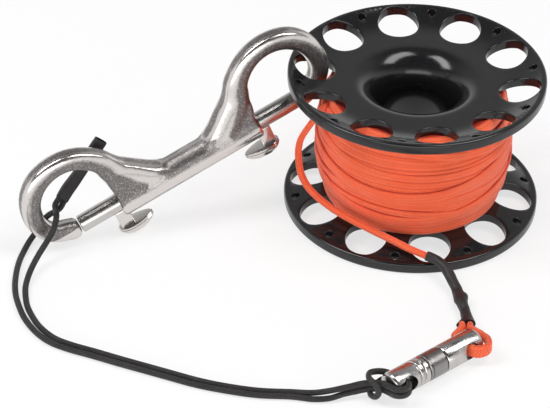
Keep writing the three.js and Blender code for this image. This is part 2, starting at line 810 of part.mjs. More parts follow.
/** Outline of the thumb plate: broad towards the mouth and drawn in towards the middle. */
function plateRing(scale, height) {
  return Array.from({ length: facets.plate }, (_, i) => {
    const turn = circle * i / facets.plate;
    const broad = 1 - plateTaper + plateTaper * Math.cos(turn);
    return at(
      knob.plateAlong + scale * knob.plateLength / 2 * Math.cos(turn),
      scale * broad * knob.plateWidth / 2 * Math.sin(turn),
      height,
    );
  });
}

// Rings of the thumb plate: size as a share of its outline, and depth as a share of its dome
const domeShares = [
  [0.97, 0],
  [0.84, 0.42],
  [0.6, 0.76],
  [0.3, 1],
];
const plateTopShare = 0.93;

function thumbKnob(direction) {
  const rim = -knob.plateTop - knob.plateEdge;
  const rings = [
    plateRing(plateTopShare, -knob.plateTop),
    plateRing(1, -knob.plateTop - knob.plateEdge / 2),
    ...domeShares.map(([size, depth]) => plateRing(size, rim - knob.plateDome * depth)),
  ];
  const a = knob.stemLength / 2 - knob.stemCorner;
  const b = knob.stemWidth / 2 - knob.stemCorner;
  const outline = new THREE.Shape();
  outline.absarc(a, b, knob.stemCorner, 0, Math.PI / 2);
  outline.absarc(-a, b, knob.stemCorner, Math.PI / 2, Math.PI);
  outline.absarc(-a, -b, knob.stemCorner, Math.PI, Math.PI * 1.5);
  outline.absarc(a, -b, knob.stemCorner, Math.PI * 1.5, circle);
  const stemTop = -snap.boltRadius - seat;
  const stem = new THREE.ExtrudeGeometry(outline, {
    depth: stemTop - rim,
    bevelEnabled: false,
    curveSegments: 3,
  }).translate(knob.stemAlong, 0, rim);
  const peg = pillar(knob.pegRadius, stemTop - seat, knob.pegDepth - snap.boltRadius, facets.peg)
    .translate(knob.stemAlong, 0, 0);
  const made = join(loft(rings), [stem, peg]);
  return direction > 0 ? made : made.rotateZ(Math.PI);
}

/** Spring behind a bolt: an open helix whose two ends run straight to their seats. */
function springCoil(direction) {
  const low = snap.wall + seat;
  const high = boltEnd - seat;
  const stepsPerCurl = 8;
  const steps = spring.curls * stepsPerCurl;
  const from = low + spring.wire;
  const to = high - spring.wire;
  const helix = (share, along) => {
    const turn = circle * spring.curls * share;
    return at(along, spring.radius * Math.cos(turn), spring.radius * Math.sin(turn));
  };
  const points = [helix(0, low)];
  for (let k = 0; k <= steps; k += 1) points.push(helix(k / steps, from + (to - from) * k / steps));
  points.push(helix(1, high));
  const wire = spring.wire / 2;
  const made = tube(points, facets.wire, () => wire, () => wire, at(0, 1, 0));
  console.log(`least gap in a spring ${leastGap(points, spring.wire, stepsPerCurl / 2).toFixed(2)} mm`);
  return direction > 0 ? made : made.rotateZ(Math.PI);
}

const snapGroup = new THREE.Group();
snapGroup.add(piece("snap_body", snapCasting(), castSteel));
for (const [side, direction] of [["upper", 1], ["lower", -1]]) {
  snapGroup.add(
    piece(`bolt_${side}`, bolt(direction), polishedSteel),
    piece(`thumb_knob_${side}`, thumbKnob(direction), castSteel),
    piece(`spring_${side}`, springCoil(direction), springSteel),
  );
}

/** Axes of the snap for a climb of its barrel, in degrees. */
function snapBasis(climb) {
  const turn = radians(snap.heading);
  const rise = radians(climb);
  const lean = radians(snap.lean);
  const along = at(Math.cos(rise) * Math.cos(turn), Math.cos(rise) * Math.sin(turn), Math.sin(rise));
  const level = at(-Math.sin(turn), Math.cos(turn), 0);
  const upright = at(-Math.sin(rise) * Math.cos(turn), -Math.sin(rise) * Math.sin(turn), Math.cos(rise));
  const up = upright.multiplyScalar(Math.cos(lean)).addScaledVector(level, Math.sin(lean));
  const back = up.clone().cross(along);
  return { along, back, up };
}

const snapHole = 2;          // which hole of the upper flange the snap is clipped through
const holeTurn = radians(spool.holePhase) + circle * snapHole / spool.holeCount;
const holeCentre = at(
  holePitchRadius * Math.cos(holeTurn),
  holePitchRadius * Math.sin(holeTurn),
  spool.height - spool.rimHeight / 2,
);

/** Origin of the snap for a climb, with its upper limb standing in the flange's hole. */
function snapOrigin({ along, up }) {
  return holeCentre.clone()
    .addScaledVector(along, -(snap.eyeAlong + snap.inHoleAlong))
    .addScaledVector(up, -(snap.eyeUp - snap.inHoleDown));
}

function lowestAt(climb) {
  const basis = snapBasis(climb);
  const origin = snapOrigin(basis);
  let lowest = Infinity;
  for (const mesh of snapGroup.children) {
    const { array } = mesh.geometry.attributes.position;
    for (let i = 0; i < array.length; i += 3) {
      const rise = array[i] * basis.along.z + array[i + 1] * basis.back.z;
      lowest = Math.min(lowest, origin.z + rise + array[i + 2] * basis.up.z);
    }
  }
  return lowest;
}

/** Climb at which the lower end of the snap just rests on the floor. */
function restingClimb() {
  const halvings = 40;
  let flat = 0;
  let steep = 60;
  for (let k = 0; k < halvings; k += 1) {
    const middle = (flat + steep) / 2;
    if (lowestAt(middle) > 0) flat = middle;
    else steep = middle;
  }
  return flat;
}

const climb = restingClimb();
const basis = snapBasis(climb);
snapGroup.setRotationFromMatrix(new THREE.Matrix4().makeBasis(basis.along, basis.back, basis.up));
snapGroup.position.copy(snapOrigin(basis));
const snapPlace = snapGroup.position.toArray().map((v) => v.toFixed(2)).join(" ");
console.log(`snap climbs ${climb.toFixed(2)} degrees from ${snapPlace}`);

// Assembly, with its origin under the middle of the spool and the snap

const object = new THREE.Group();
object.add(spoolUpper, spoolLower, lineCore, lineWinding, lineTail, lineSleeve, swivelGroup);
object.add(backStrand, frontStrand, lanyardSleeve, snapGroup);
object.updateMatrixWorld(true);
const rigid = new THREE.Box3();
for (const mesh of [spoolUpper, spoolLower, lineCore, lineWinding, ...snapGroup.children]) {
  rigid.expandByObject(mesh, true);
}
const middle = rigid.getCenter(at(0, 0, 0));
object.position.set(-middle.x, -middle.y, -rigid.min.z);

const group = new THREE.Group();
group.add(object);
export default group;
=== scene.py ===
"""Looks of a finger spool with its line, swivel, lanyard and double-ended bolt snap."""

import logging
import math
from dataclasses import dataclass, field
from enum import Enum
from typing import Any, Callable, Iterable, Sequence

import bmesh
import bpy
import numpy as np
from mathutils import Matrix, Vector
from mathutils.geometry import delaunay_2d_cdt


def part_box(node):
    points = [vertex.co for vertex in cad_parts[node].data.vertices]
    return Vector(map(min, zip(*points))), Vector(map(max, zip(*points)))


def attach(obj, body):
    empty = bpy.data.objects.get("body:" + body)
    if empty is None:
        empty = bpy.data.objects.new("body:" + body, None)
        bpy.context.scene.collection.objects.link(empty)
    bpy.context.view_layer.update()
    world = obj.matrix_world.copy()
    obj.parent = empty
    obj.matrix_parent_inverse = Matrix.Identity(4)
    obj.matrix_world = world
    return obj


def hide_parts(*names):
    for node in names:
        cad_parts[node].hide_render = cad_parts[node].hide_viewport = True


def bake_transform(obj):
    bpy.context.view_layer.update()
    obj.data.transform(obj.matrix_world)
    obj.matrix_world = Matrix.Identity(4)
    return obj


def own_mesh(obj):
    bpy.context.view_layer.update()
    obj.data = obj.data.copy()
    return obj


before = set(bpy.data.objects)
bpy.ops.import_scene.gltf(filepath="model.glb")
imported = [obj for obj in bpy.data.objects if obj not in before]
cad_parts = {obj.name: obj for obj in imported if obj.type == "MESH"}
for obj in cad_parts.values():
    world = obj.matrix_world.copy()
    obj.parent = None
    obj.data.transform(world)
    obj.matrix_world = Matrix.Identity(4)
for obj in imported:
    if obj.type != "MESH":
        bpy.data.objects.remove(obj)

Pair = tuple[float, float]
Point = tuple[float, float, float]
Colour = tuple[float, float, float]

LOG = logging.getLogger("finger_spool")
MM = 0.001
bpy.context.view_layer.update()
TAU = 2 * math.pi
UP = np.array([0.0, 0.0, 1.0])
SPLINE_STEPS = 24
SLEEVE_SIDES = 32


def spool_axis() -> np.ndarray:
    """Foot of the spool's axis in the row frame, in millimetres.

    Returns:
        The point on the floor that every length below is measured from.
    """
    low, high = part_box("spool_upper")
    centre = (low + high) / 2
    return np.array([centre.x / MM, centre.y / MM, 0.0])


AXIS = spool_axis()


class Body(Enum):
    """The CAD bodies that pieces ride on."""

    SPOOL = "spool"
    SNAP = "snap"
    SWIVEL_EYE = "swivel_eye"
    BOLT_UPPER = "bolt_upper"
    BOLT_LOWER = "bolt_lower"


class Slot(Enum):
    """The record's material slots."""

    PLASTIC = "black_plastic"
    LINE = "orange_line"
    CORD = "black_cord"
    SHRINK = "shrink_tube"
    CAST = "cast_steel"
    POLISHED = "polished_steel"
    SPRING = "spring_steel"


# Shader expressions


class Value:
    """A number socket of a material, with arithmetic that adds Math nodes."""

    def __init__(self, tree: "Tree", socket: bpy.types.NodeSocket) -> None:
        """Keeps the socket and the tree it belongs to.

        Args:
            tree: The tree that new nodes go into.
            socket: The output that this value stands for.
        """
        self.tree = tree
        self.socket = socket

    def _math(self, operation: str, *others: "Value | float") -> "Value":
        """Adds one Math node.

        Args:
            operation: The node's operation.
            others: The further operands.

        Returns:
            The node's output.
        """
        return self.tree.math(operation, self, *others)

    def __add__(self, other: "Value | float") -> "Value":
        """Returns self + other."""
        return self._math("ADD", other)

    def __radd__(self, other: float) -> "Value":
        """Returns other + self."""
        return self._math("ADD", other)

    def __sub__(self, other: "Value | float") -> "Value":
        """Returns self - other."""
        return self._math("SUBTRACT", other)

    def __rsub__(self, other: float) -> "Value":
        """Returns other - self."""
        return self.tree.math("SUBTRACT", other, self)

    def __mul__(self, other: "Value | float") -> "Value":
        """Returns self * other."""
        return self._math("MULTIPLY", other)

    def __rmul__(self, other: float) -> "Value":
        """Returns other * self."""
        return self._math("MULTIPLY", other)

    def __abs__(self) -> "Value":
        """Returns |self|."""
        return self._math("ABSOLUTE")

    def sin(self) -> "Value":
        """Returns the sine of self, in radians."""
        return self._math("SINE")

    def over(self, other: "Value | float") -> "Value":
        """Returns the greater of self and other."""
        return self._math("MAXIMUM", other)

    def under(self, other: "Value | float") -> "Value":
        """Returns the lesser of self and other."""
        return self._math("MINIMUM", other)

    def ramp(self, low: float, high: float) -> "Value":
        """Rises smoothly from 0 to 1 between two values.

        Args:
            low: Where it leaves 0.
            high: Where it reaches 1.

        Returns:
            The share of the way.
        """
        node = self.tree.node(
            "ShaderNodeMapRange",
            {"interpolation_type": "SMOOTHSTEP"},
            Value=self,
            From_Min=low,
            From_Max=high,
        )
        return Value(self.tree, node.outputs["Result"])


class Tree:
    """The nodes of a material or of the world."""

    def __init__(self, owner: bpy.types.Material | bpy.types.World) -> None:
        """Starts from an empty tree.

        Args:
            owner: What the nodes belong to.
        """
        owner.use_nodes = True
        self.nodes = owner.node_tree.nodes
        self.links = owner.node_tree.links
        self.nodes.clear()

    def set(self, node: bpy.types.Node, socket: str | int, value: Any) -> None:
        """Gives a socket a link or a constant.

        Args:
            node: The node that owns the socket.
            socket: Its name, with spaces as underscores, or its number.
            value: A Value, a socket, a number, a colour or a vector.
        """
        key = socket.replace("_", " ") if isinstance(socket, str) else socket
        target = node.inputs[key]
        if isinstance(value, Value):
            self.links.new(value.socket, target)
        elif isinstance(value, bpy.types.NodeSocket):
            self.links.new(value, target)
        elif hasattr(value, "__len__"):
            wanted = len(target.default_value)
            target.default_value = (*value, 1.0)[:wanted]
        else:
            target.default_value = value

    def node(
        self, kind: str, settings: dict[str, Any] | None = None, **sockets: Any
    ) -> bpy.types.Node:
        """Adds a node.

        Args:
            kind: The node's type.
            settings: Its own properties, set before its sockets.
            sockets: Values or links by socket name, or by number as s0, s1.

        Returns:
            The new node.
        """
        made = self.nodes.new(kind)
        for key, value in (settings or {}).items():
            setattr(made, key, value)
        for key, value in sockets.items():
            numbered = key[0] == "s" and key[1:].isdigit()
            self.set(made, int(key[1:]) if numbered else key, value)
        return made

    def math(self, operation: str, *operands: "Value | float") -> Value:
        """Adds a Math node and returns its result.

        Args:
            operation: The node's operation.
            operands: Its inputs in order.

        Returns:
            The node's output.
        """
        numbered = {f"s{i}": v for i, v in enumerate(operands)}
        made = self.node("ShaderNodeMath", {"operation": operation}, **numbered)
        return Value(self, made.outputs[0])

    def mix(self, share: "Value | float", low: Any, high: Any) -> bpy.types.NodeSocket:
        """Mixes two colours.

        Args:
            share: How much of the second.
            low: The first colour.
            high: The second colour.

        Returns:
            The colour output.
        """
        made = self.node("ShaderNodeMix", {"data_type": "RGBA"})
        self.set(made, 0, share)
        self.set(made, 6, low)
        self.set(made, 7, high)
        return made.outputs[2]

    def place(self, scale: float = 1.0) -> bpy.types.NodeSocket:
        """The piece's own coordinates, in millimetres times a scale.

        Args:
            scale: How many steps a millimetre has.

        Returns:
            The vector output.
        """
        coordinate = self.node("ShaderNodeTexCoord")
        made = self.node(
            "ShaderNodeVectorMath",
            {"operation": "SCALE"},
            s0=coordinate.outputs["Object"],
            Scale=scale / MM,
        )
        return made.outputs[0]

    def noise(
        self,
        scale: float,
        detail: float = 2.0,
        roughness: float = 0.5,
        stretch: Sequence[float] | None = None,
    ) -> Value:
        """Noise over the piece's own coordinates.

        Args:
            scale: Features in a millimetre.
            detail: Octaves.
            roughness: Share kept from octave to octave.
            stretch: Factors for the three axes.

        Returns:
            Noise about a half.
        """
        where = self.place(scale)
        if stretch is not None:
            where = self.node(
                "ShaderNodeVectorMath", {"operation": "MULTIPLY"}, s0=where, s1=stretch
            ).outputs[0]
        made = self.node(
            "ShaderNodeTexNoise",
            Vector=where,
            Scale=1.0,
            Detail=detail,
            Roughness=roughness,
        )
        return Value(self, made.outputs[0])

    def strand_note(self) -> tuple[Value, Value]:
        """What the piece's "strand" attribute says at a point.

        Returns:
            Millimetres along the strand (on the casting, how far its skin is painted dark and left
            rough), and turns round it.
        """
        made = self.node("ShaderNodeAttribute", {"attribute_name": "strand"})
        parts = self.node("ShaderNodeSeparateXYZ", s0=made.outputs["Vector"])
        return Value(self, parts.outputs[0]), Value(self, parts.outputs[1])


class Surface(Tree):
    """A material with one Principled shader."""

    def __init__(self, name: str) -> None:
        """Makes the material, its shader and its output.

        Args:
            name: The material's name.
        """
        self.material = bpy.data.materials.new(name)
        super().__init__(self.material)
        self.shader = self.node("ShaderNodeBsdfPrincipled")
        self.output = self.node("ShaderNodeOutputMaterial", Surface=self.shader.outputs["BSDF"])

    def bump(self, *layers: tuple[Value, float]) -> None:
        """Feeds the shader's normal from heights.

        Args:
            layers: Heights from 0 to 1, each with its depth in millimetres.
        """
        normal: bpy.types.NodeSocket | None = None
        for height, depth in layers:
            sockets: dict[str, Any] = {"Height": height, "Strength": 1.0, "Distance": depth * MM}
            if normal is not None:
                sockets["Normal"] = normal
            normal = self.node("ShaderNodeBump", **sockets).outputs[0]
        self.set(self.shader, "Normal", normal)

    def dress(self, **sockets: Any) -> None:
        """Sets the shader's own sockets.

        Args:
            sockets: Values or links by socket name.
        """
        for key, value in sockets.items():
            self.set(self.shader, key, value)


# Finishes


class Finish:
    """A way to finish a piece, which can be made into a material."""

    def add_to(self, tree: Surface) -> None:
        """Adds this finish to a material.

        Args:
            tree: The material's nodes.
        """
        raise NotImplementedError

    def material(self, name: str) -> bpy.types.Material:
        """Builds a material with this finish.

        Args:
            name: The material's name.

        Returns:
            The material.
        """
        tree = Surface(name)
        self.add_to(tree)
        return tree.material


@dataclass(frozen=True)
class MouldedPlastic(Finish):
    """Glossy black plastic with faint ripples from its mould and fine rub marks."""

    colour: Colour = (0.0105, 0.0105, 0.0115)
    worn: Colour = (0.026, 0.026, 0.027)
    gloss: float = 0.13
    rubbed: float = 0.3
    ripple_depth: float = 0.05
    grain_depth: float = 0.0035

    def add_to(self, tree: Surface) -> None:
        """Adds this finish to a material.

        Args:
            tree: The material's nodes.
        """
        ripple = tree.noise(0.09, 1.5)
        grain = tree.noise(2.2, 3.0, 0.6)
        rubs = tree.noise(0.5, 4.0, 0.65, (1.0, 1.0, 4.0)).ramp(0.52, 0.78)
        tree.dress(
            Base_Color=tree.mix(rubs * 0.5, self.colour, self.worn),
            Roughness=self.gloss + (self.rubbed - self.gloss) * (rubs * 0.45 + grain * 0.35),
            Specular_IOR_Level=0.5,
            Coat_Weight=0.0,
        )
        tree.bump((ripple, self.ripple_depth), (grain, self.grain_depth))


@dataclass(frozen=True)
class CastSteel(Finish):
    """Cast stainless steel: bright where it stands out, and darker and grainy in its hollows and along
    bands, where painted shade stands for dark reflections of the room.

    The piece's "strand" attribute says how far each point is painted dark and left rough.
    """

    light: Colour = (0.7, 0.665, 0.645)
    # Painted shade: the dark reflections of the room in the hollows and bands.
    dark: Colour = (0.135, 0.126, 0.124)
    # Painted glints of the grain, speckled over the painted shade.
    glint_speck: Colour = (0.5, 0.47, 0.46)
    smooth: float = 0.2
    grainy: float = 0.42
    dent_depth: float = 0.06
    grain_depth: float = 0.08

    def add_to(self, tree: Surface) -> None:
        """Adds this finish to a material.

        Args:
            tree: The material's nodes.
        """
        shade_and_rough_note, _ = tree.strand_note()
        drift = tree.noise(0.12, 3.0, 0.6) - 0.5
        grain = tree.noise(1.5, 3.0, 0.7)
        # How far each point is painted dark and left rough, from the strand note and noise.
        rough_and_shade = (shade_and_rough_note + drift * 1.1 + (grain - 0.5) * 0.7).ramp(0.15, 0.8)
        # Bright specks of grain: painted glints.
        grain_glint = tree.noise(2.5, 2.0, 0.6).ramp(0.53, 0.64)
        dents = tree.noise(0.4, 2.0)
        # The painted shade with its painted glints.
        skin = tree.mix(grain_glint * 0.8, self.dark, self.glint_speck)
        tree.dress(
            Base_Color=tree.mix(rough_and_shade * 0.92 + grain.ramp(0.58, 0.74) * 0.2, self.light, skin),
            Metallic=1.0,
            Roughness=self.smooth + (self.grainy - self.smooth) * (rough_and_shade * 0.85 + grain_glint * 0.15),
        )
        tree.bump((dents, self.dent_depth), (grain * (rough_and_shade * 0.8 + 0.2), self.grain_depth))


@dataclass(frozen=True)
class TurnedSteel(Finish):
    """Polished stainless steel with faint marks round it from the lathe."""

    colour: Colour = (0.56, 0.54, 0.525)
    dull: Colour = (0.36, 0.345, 0.335)
    gloss: float = 0.2
    marked: float = 0.38
    line_depth: float = 0.01
    lines_per_mm: float = 4.3
    wobble_depth: float = 0.02

    def add_to(self, tree: Surface) -> None:
        """Adds this finish to a material.

        Args:
            tree: The material's nodes.
        """
        along, _ = tree.strand_note()
        wobble = tree.noise(0.3, 2.0)
        marks = tree.math("FRACT", along * self.lines_per_mm + wobble * 0.6)
        marks = abs(marks - 0.5) * 2.0
        smear = tree.noise(0.22, 3.0).ramp(0.45, 0.75)
        dots = tree.noise(2.6, 2.0).ramp(0.66, 0.8)
        tree.dress(
            Base_Color=tree.mix(smear * 0.25 + dots * 0.35, self.colour, self.dull),
            Metallic=1.0,
            Roughness=self.gloss + (self.marked - self.gloss) * (smear * 0.6 + dots * 0.4),
        )
        tree.bump((wobble, self.wobble_depth), (marks, self.line_depth))


@dataclass(frozen=True)
class Braid(Finish):
    """A braid of fine plaits: ridges in the braid's colour, painted shade in its gaps and crossings,
    and a few loose hairs of fibre.
    """

    colour: Colour
    # Painted shade in the braid's gaps.
    gap_shade: Colour
    faded: Colour
    carriers: int = 8
    pitch: float = 1.7
    depth: float = 0.07
    roughness: float = 0.72
    sheen: float = 0.25
    # Share of painted shade along both long edges of a flat strand.
    edge: float = 0.0
    fibre_depth: float = 0.02

    def add_to(self, tree: Surface) -> None:
        """Adds this finish to a material.

        Args:
            tree: The material's nodes.
        """
        along, turn = tree.strand_note()
        drift = (tree.noise(0.35, 2.0) - 0.5) * 0.5
        lead = (along + drift) * (TAU / self.pitch)
        rightward = (turn * (TAU * self.carriers / 2) + lead).sin()
        leftward = (turn * (TAU * self.carriers / 2) - lead).sin()
        plait = (rightward * leftward).ramp(-0.9, 0.9)
        crossing = abs(rightward * leftward).ramp(0.0, 0.22)
        fibre = tree.noise(5.0, 2.0, 0.6)
        tone = tree.noise(0.12, 3.0).ramp(0.35, 0.7)
        body = tree.mix(tone * 0.5 + fibre * 0.15, self.colour, self.faded)
        # Painted shade along both long edges, where wound turns meet.
        edge_shade = abs((turn * TAU + math.pi / 2).sin()).ramp(0.72, 0.99) * self.edge
        # Painted shade in the gaps and crossings of the plaits.
        between = 1.0 - crossing * 0.55 - plait * 0.35 - 0.1
        tree.dress(
            Base_Color=tree.mix(between.over(edge_shade), body, self.gap_shade),
            Roughness=(self.roughness + (fibre - 0.5) * 0.25).under(1.0),
            Specular_IOR_Level=0.35,
            Sheen_Weight=self.sheen,
            Sheen_Roughness=0.45,
        )
        tree.bump((plait, self.depth), (crossing, self.depth * 0.6), (fibre, self.fibre_depth))


@dataclass(frozen=True)
class ShrinkTube(Finish):
    """Black heat-shrunk tube: satin, with soft creases and fine specks."""

    colour: Colour = (0.013, 0.011, 0.0115)
    chalky: Colour = (0.05, 0.043, 0.044)
    satin: float = 0.42
    matt: float = 0.68
    crease_depth: float = 0.16
    band_depth: float = 0.05
    speck_depth: float = 0.01

    def add_to(self, tree: Surface) -> None:
        """Adds this finish to a material.

        Args:
            tree: The material's nodes.
        """
        along, _ = tree.strand_note()
        creases = tree.noise(0.35, 3.0, 0.55)
        bands = (along * 2.1 + creases * 5.0).sin() * 0.5 + 0.5
        specks = tree.noise(3.4, 2.0, 0.6).ramp(0.55, 0.75)
        tree.dress(
            Base_Color=tree.mix(specks * 0.4 + creases * 0.25, self.colour, self.chalky),
            Roughness=self.satin + (self.matt - self.satin) * (creases * 0.6 + specks * 0.4),
            Specular_IOR_Level=0.45,
        )
        tree.bump(
            (creases, self.crease_depth), (bands * creases, self.band_depth), (specks, self.speck_depth)
        )


@dataclass(frozen=True)
class PaleFloor(Finish):
    """Plain pale floor that carries the object's shadow."""

    colour: Colour = (0.93, 0.93, 0.93)
    white: float = 0.7

    def add_to(self, tree: Surface) -> None:
        """Adds this finish to a material.

        Args:
            tree: The material's nodes.
        """
        tree.dress(Base_Color=self.colour, Roughness=0.9, Specular_IOR_Level=0.1)
        path = tree.node("ShaderNodeLightPath")
        kinds = ("Camera", "Glossy", "Transmission")
        rays = [Value(tree, path.outputs[f"Is {kind} Ray"]) for kind in kinds]
        seen = (rays[0] + rays[1] + rays[2]).under(1.0) * self.white
        plain = tree.node("ShaderNodeEmission", Strength=1.0)
        both = tree.node("ShaderNodeMixShader", s0=seen, s1=tree.shader.outputs[0], s2=plain.outputs[0])
        tree.set(tree.output, "Surface", both.outputs[0])


class Palette:
    """One material of each finish, made once and shared."""

    def __init__(self) -> None:
        """Builds every material."""
        self.plastic = MouldedPlastic().material("moulded_black_plastic")
        self.cast = CastSteel().material("cast_steel_painted_shade")
        self.turned = TurnedSteel().material("turned_polished_steel")
        # Darker steel on the cap: a painted dark reflection on its middle.
        cap = TurnedSteel((0.3, 0.29, 0.283), (0.2, 0.19, 0.187), gloss=0.3, marked=0.46)
        self.cap = cap.material("cap_steel_painted_dark_reflection")
        wire = TurnedSteel((0.62, 0.6, 0.58), (0.4, 0.38, 0.37), gloss=0.25, marked=0.4)
        self.spring = wire.material("drawn_spring_wire")
        orange = (1.0, 0.15, 0.045), (0.6, 0.024, 0.006), (1.0, 0.2, 0.085)
        shaded = (0.72, 0.045, 0.008), (0.4, 0.01, 0.002), (0.8, 0.07, 0.02)
        black = (0.021, 0.019, 0.0195), (0.004, 0.0035, 0.0035), (0.06, 0.056, 0.056)
        self.line = Braid(*orange).material("orange_braid")
        # Wound line: painted shade along the edges of each turn.
        self.wound = Braid(*orange, edge=0.75).material("orange_wound_braid")
        self.bed = Braid(*shaded).material("orange_bed")
        cord = Braid(*black, pitch=1.5, depth=0.16, roughness=0.52, sheen=0.12)
        self.cord = cord.material("black_braid")
        self.shrink = ShrinkTube().material("shrunk_black_tube")
        self.floor = PaleFloor().material("pale_floor")


# Mesh tools


def eased(value: np.ndarray, low: np.ndarray | float, high: np.ndarray | float) -> np.ndarray:
    """Rises smoothly from 0 to 1 between two values.

    Args:
        value: What is looked at.
        low: Where it leaves 0.
        high: Where it reaches 1.

    Returns:
        The share of the way.
    """
    share = np.clip((value - low) / (high - low), 0, 1)
    return share * share * (3 - 2 * share)


def around(count: int) -> np.ndarray:
    """Evenly spaced angles of a whole turn.

    Args:
        count: How many.

    Returns:
        The angles in radians.
    """
    return np.arange(count) / count * TAU


def between(t: float, t0: float, a: np.ndarray, t1: float, b: np.ndarray) -> np.ndarray:
    """The point at t on the straight run from a at t0 to b at t1.

    Args:
        t: The place wanted.
        t0: Where a is.
        a: The first point.
        t1: Where b is.
        b: The second point.

    Returns:
        The point.
    """
    return a * (t1 - t) / (t1 - t0) + b * (t - t0) / (t1 - t0)


def lengths(line: np.ndarray) -> np.ndarray:
    """How far along a line its points lie.

    Args:
        line: Points in order.

    Returns:
        One length a point, from 0.
    """
    return np.concatenate([[0.0], np.cumsum(np.linalg.norm(np.diff(line, axis=0), axis=1))])


def spline(points: Sequence[Sequence[float]], step: float) -> np.ndarray:
    """Smooth curve through points, as the CAD routes have it.

    Args:
        points: The route, in millimetres.
        step: The distance between the points of the result.

    Returns:
        Points evenly spaced along the curve.
    """
    p = np.array(points, float)
    p = np.vstack([2 * p[0] - p[1], p, 2 * p[-1] - p[-2]])
    fine = []
    for i in range(1, len(p) - 2):
        a, b, c, d = p[i - 1], p[i], p[i + 1], p[i + 2]
        t0 = 0.0
        t1 = t0 + np.linalg.norm(b - a) ** 0.5
        t2 = t1 + np.linalg.norm(c - b) ** 0.5
        t3 = t2 + np.linalg.norm(d - c) ** 0.5
        for t in np.linspace(t1, t2, SPLINE_STEPS, endpoint=False):
            ab, bc, cd = between(t, t0, a, t1, b), between(t, t1, b, t2, c), between(t, t2, c, t3, d)
            abc, bcd = between(t, t0, ab, t2, bc), between(t, t1, bc, t3, cd)
            fine.append(between(t, t1, abc, t2, bcd))
    fine.append(p[-2])
    return spaced(np.array(fine), step)


def spaced(line: np.ndarray, step: float) -> np.ndarray:
    """The same line with evenly spaced points.

    Args:
        line: Points in order.
        step: The distance wanted between them.

    Returns:
        The new points.
    """
    along = lengths(line)
    count = max(2, int(round(along[-1] / step)) + 1)
    at = np.linspace(0, along[-1], count)
    return np.stack([np.interp(at, along, line[:, k]) for k in range(3)], axis=1)


def unit(v: np.ndarray) -> np.ndarray:
    """Vectors of length one along the last axis.

    Args:
        v: Vectors.

    Returns:
        The same directions at length one.
    """
    return v / np.maximum(np.linalg.norm(v, axis=-1, keepdims=True), 1e-12)


def tangents(line: np.ndarray) -> np.ndarray:
    """Directions along a line.

    Args:
        line: Points in order.

    Returns:
        One unit vector a point.
    """
    return unit(np.gradient(line, axis=0))


def strand_place(along: np.ndarray, turn: np.ndarray) -> np.ndarray:
    """Place on a strand of every point of its rings.

    Args:
        along: Millimetres along, one a ring.
        turn: Radians round, one a point of a ring.

    Returns:
        Millimetres along and turns round, as (ring, place in ring, 2).
    """
    return np.stack(np.broadcast_arrays(along[:, None], turn[None, :] / TAU), axis=2)


def powered(values: np.ndarray, fullness: float) -> np.ndarray:
    """Values raised to a power with their sign kept, for squarer ovals.

    Args:
        values: Sines or cosines.
        fullness: The power.

    Returns:
        The raised values.
    """
    return np.sign(values) * np.abs(values) ** fullness


def evened_out(values: np.ndarray, width: int) -> np.ndarray:
    """Running mean of the same length.

    Args:
        values: Numbers in order.
        width: How many are averaged, an odd number.

    Returns:
        The means.
    """
    return np.convolve(np.pad(values, width // 2, mode="edge"), np.ones(width) / width, mode="valid")


def carried(line: np.ndarray, start: Sequence[float]) -> np.ndarray:
    """Side directions carried along a line without twist.

    Args:
        line: Points in order.
        start: A side direction at the first point.

    Returns:
        One unit side vector a point.
    """
    ahead = tangents(line)
    side = np.array(start, float)
    found = []
    for t in ahead:
        side = side - t * (side @ t)
        side = side / np.linalg.norm(side)
        found.append(side)
    return np.array(found)


def oval_rings(
    line: np.ndarray, side: np.ndarray, up: np.ndarray, across: np.ndarray, rise: np.ndarray
) -> np.ndarray:
    """Rings of points about a line.

    Args:
        line: The line's points.
        side: A direction square to the line at each of them.
        up: A direction square to both.
        across: How far each point of a ring lies to the side, as (ring, place in ring).
        rise: How far it lies up, in the same way.

    Returns:
        Points as (ring, place in ring, xyz).
    """
    return line[:, None, :] + side[:, None, :] * across[:, :, None] + up[:, None, :] * rise[:, :, None]


def with_lips(
    line: np.ndarray, rings: np.ndarray, along: np.ndarray, shares: Pair, depths: Pair
) -> tuple[np.ndarray, np.ndarray]:
    """Turns both ends of a tube inwards, so that its wall shows.

    Args:
        line: The tube's centre line.
        rings: Its rings.
        along: How far along each ring lies.
        shares: Width of the inside at either end, as a share of the outside.
        depths: How far in the inside goes at either end.

    Returns:
        The rings and their places along, with two more at either end.
    """
    ahead = tangents(line)
    first, last = (line[k] + (rings[k] - line[k]) * share for k, share in zip((0, -1), shares))
    near, far = depths
    rings = np.concatenate([[first + ahead[0] * near, first], rings, [last, last - ahead[-1] * far]])
    return rings, np.concatenate([[near, 0.0], along, [along[-1], along[-1] - far]])


def added(name: str, data: bpy.types.ID) -> bpy.types.Object:
    """Adds an object to the scene.

    Args:
        name: Its name.
        data: Its mesh, lamp or camera.

    Returns:
        The object, at the row frame's origin.
    """
    made = bpy.data.objects.new(name, data)
    bpy.context.scene.collection.objects.link(made)
    return made


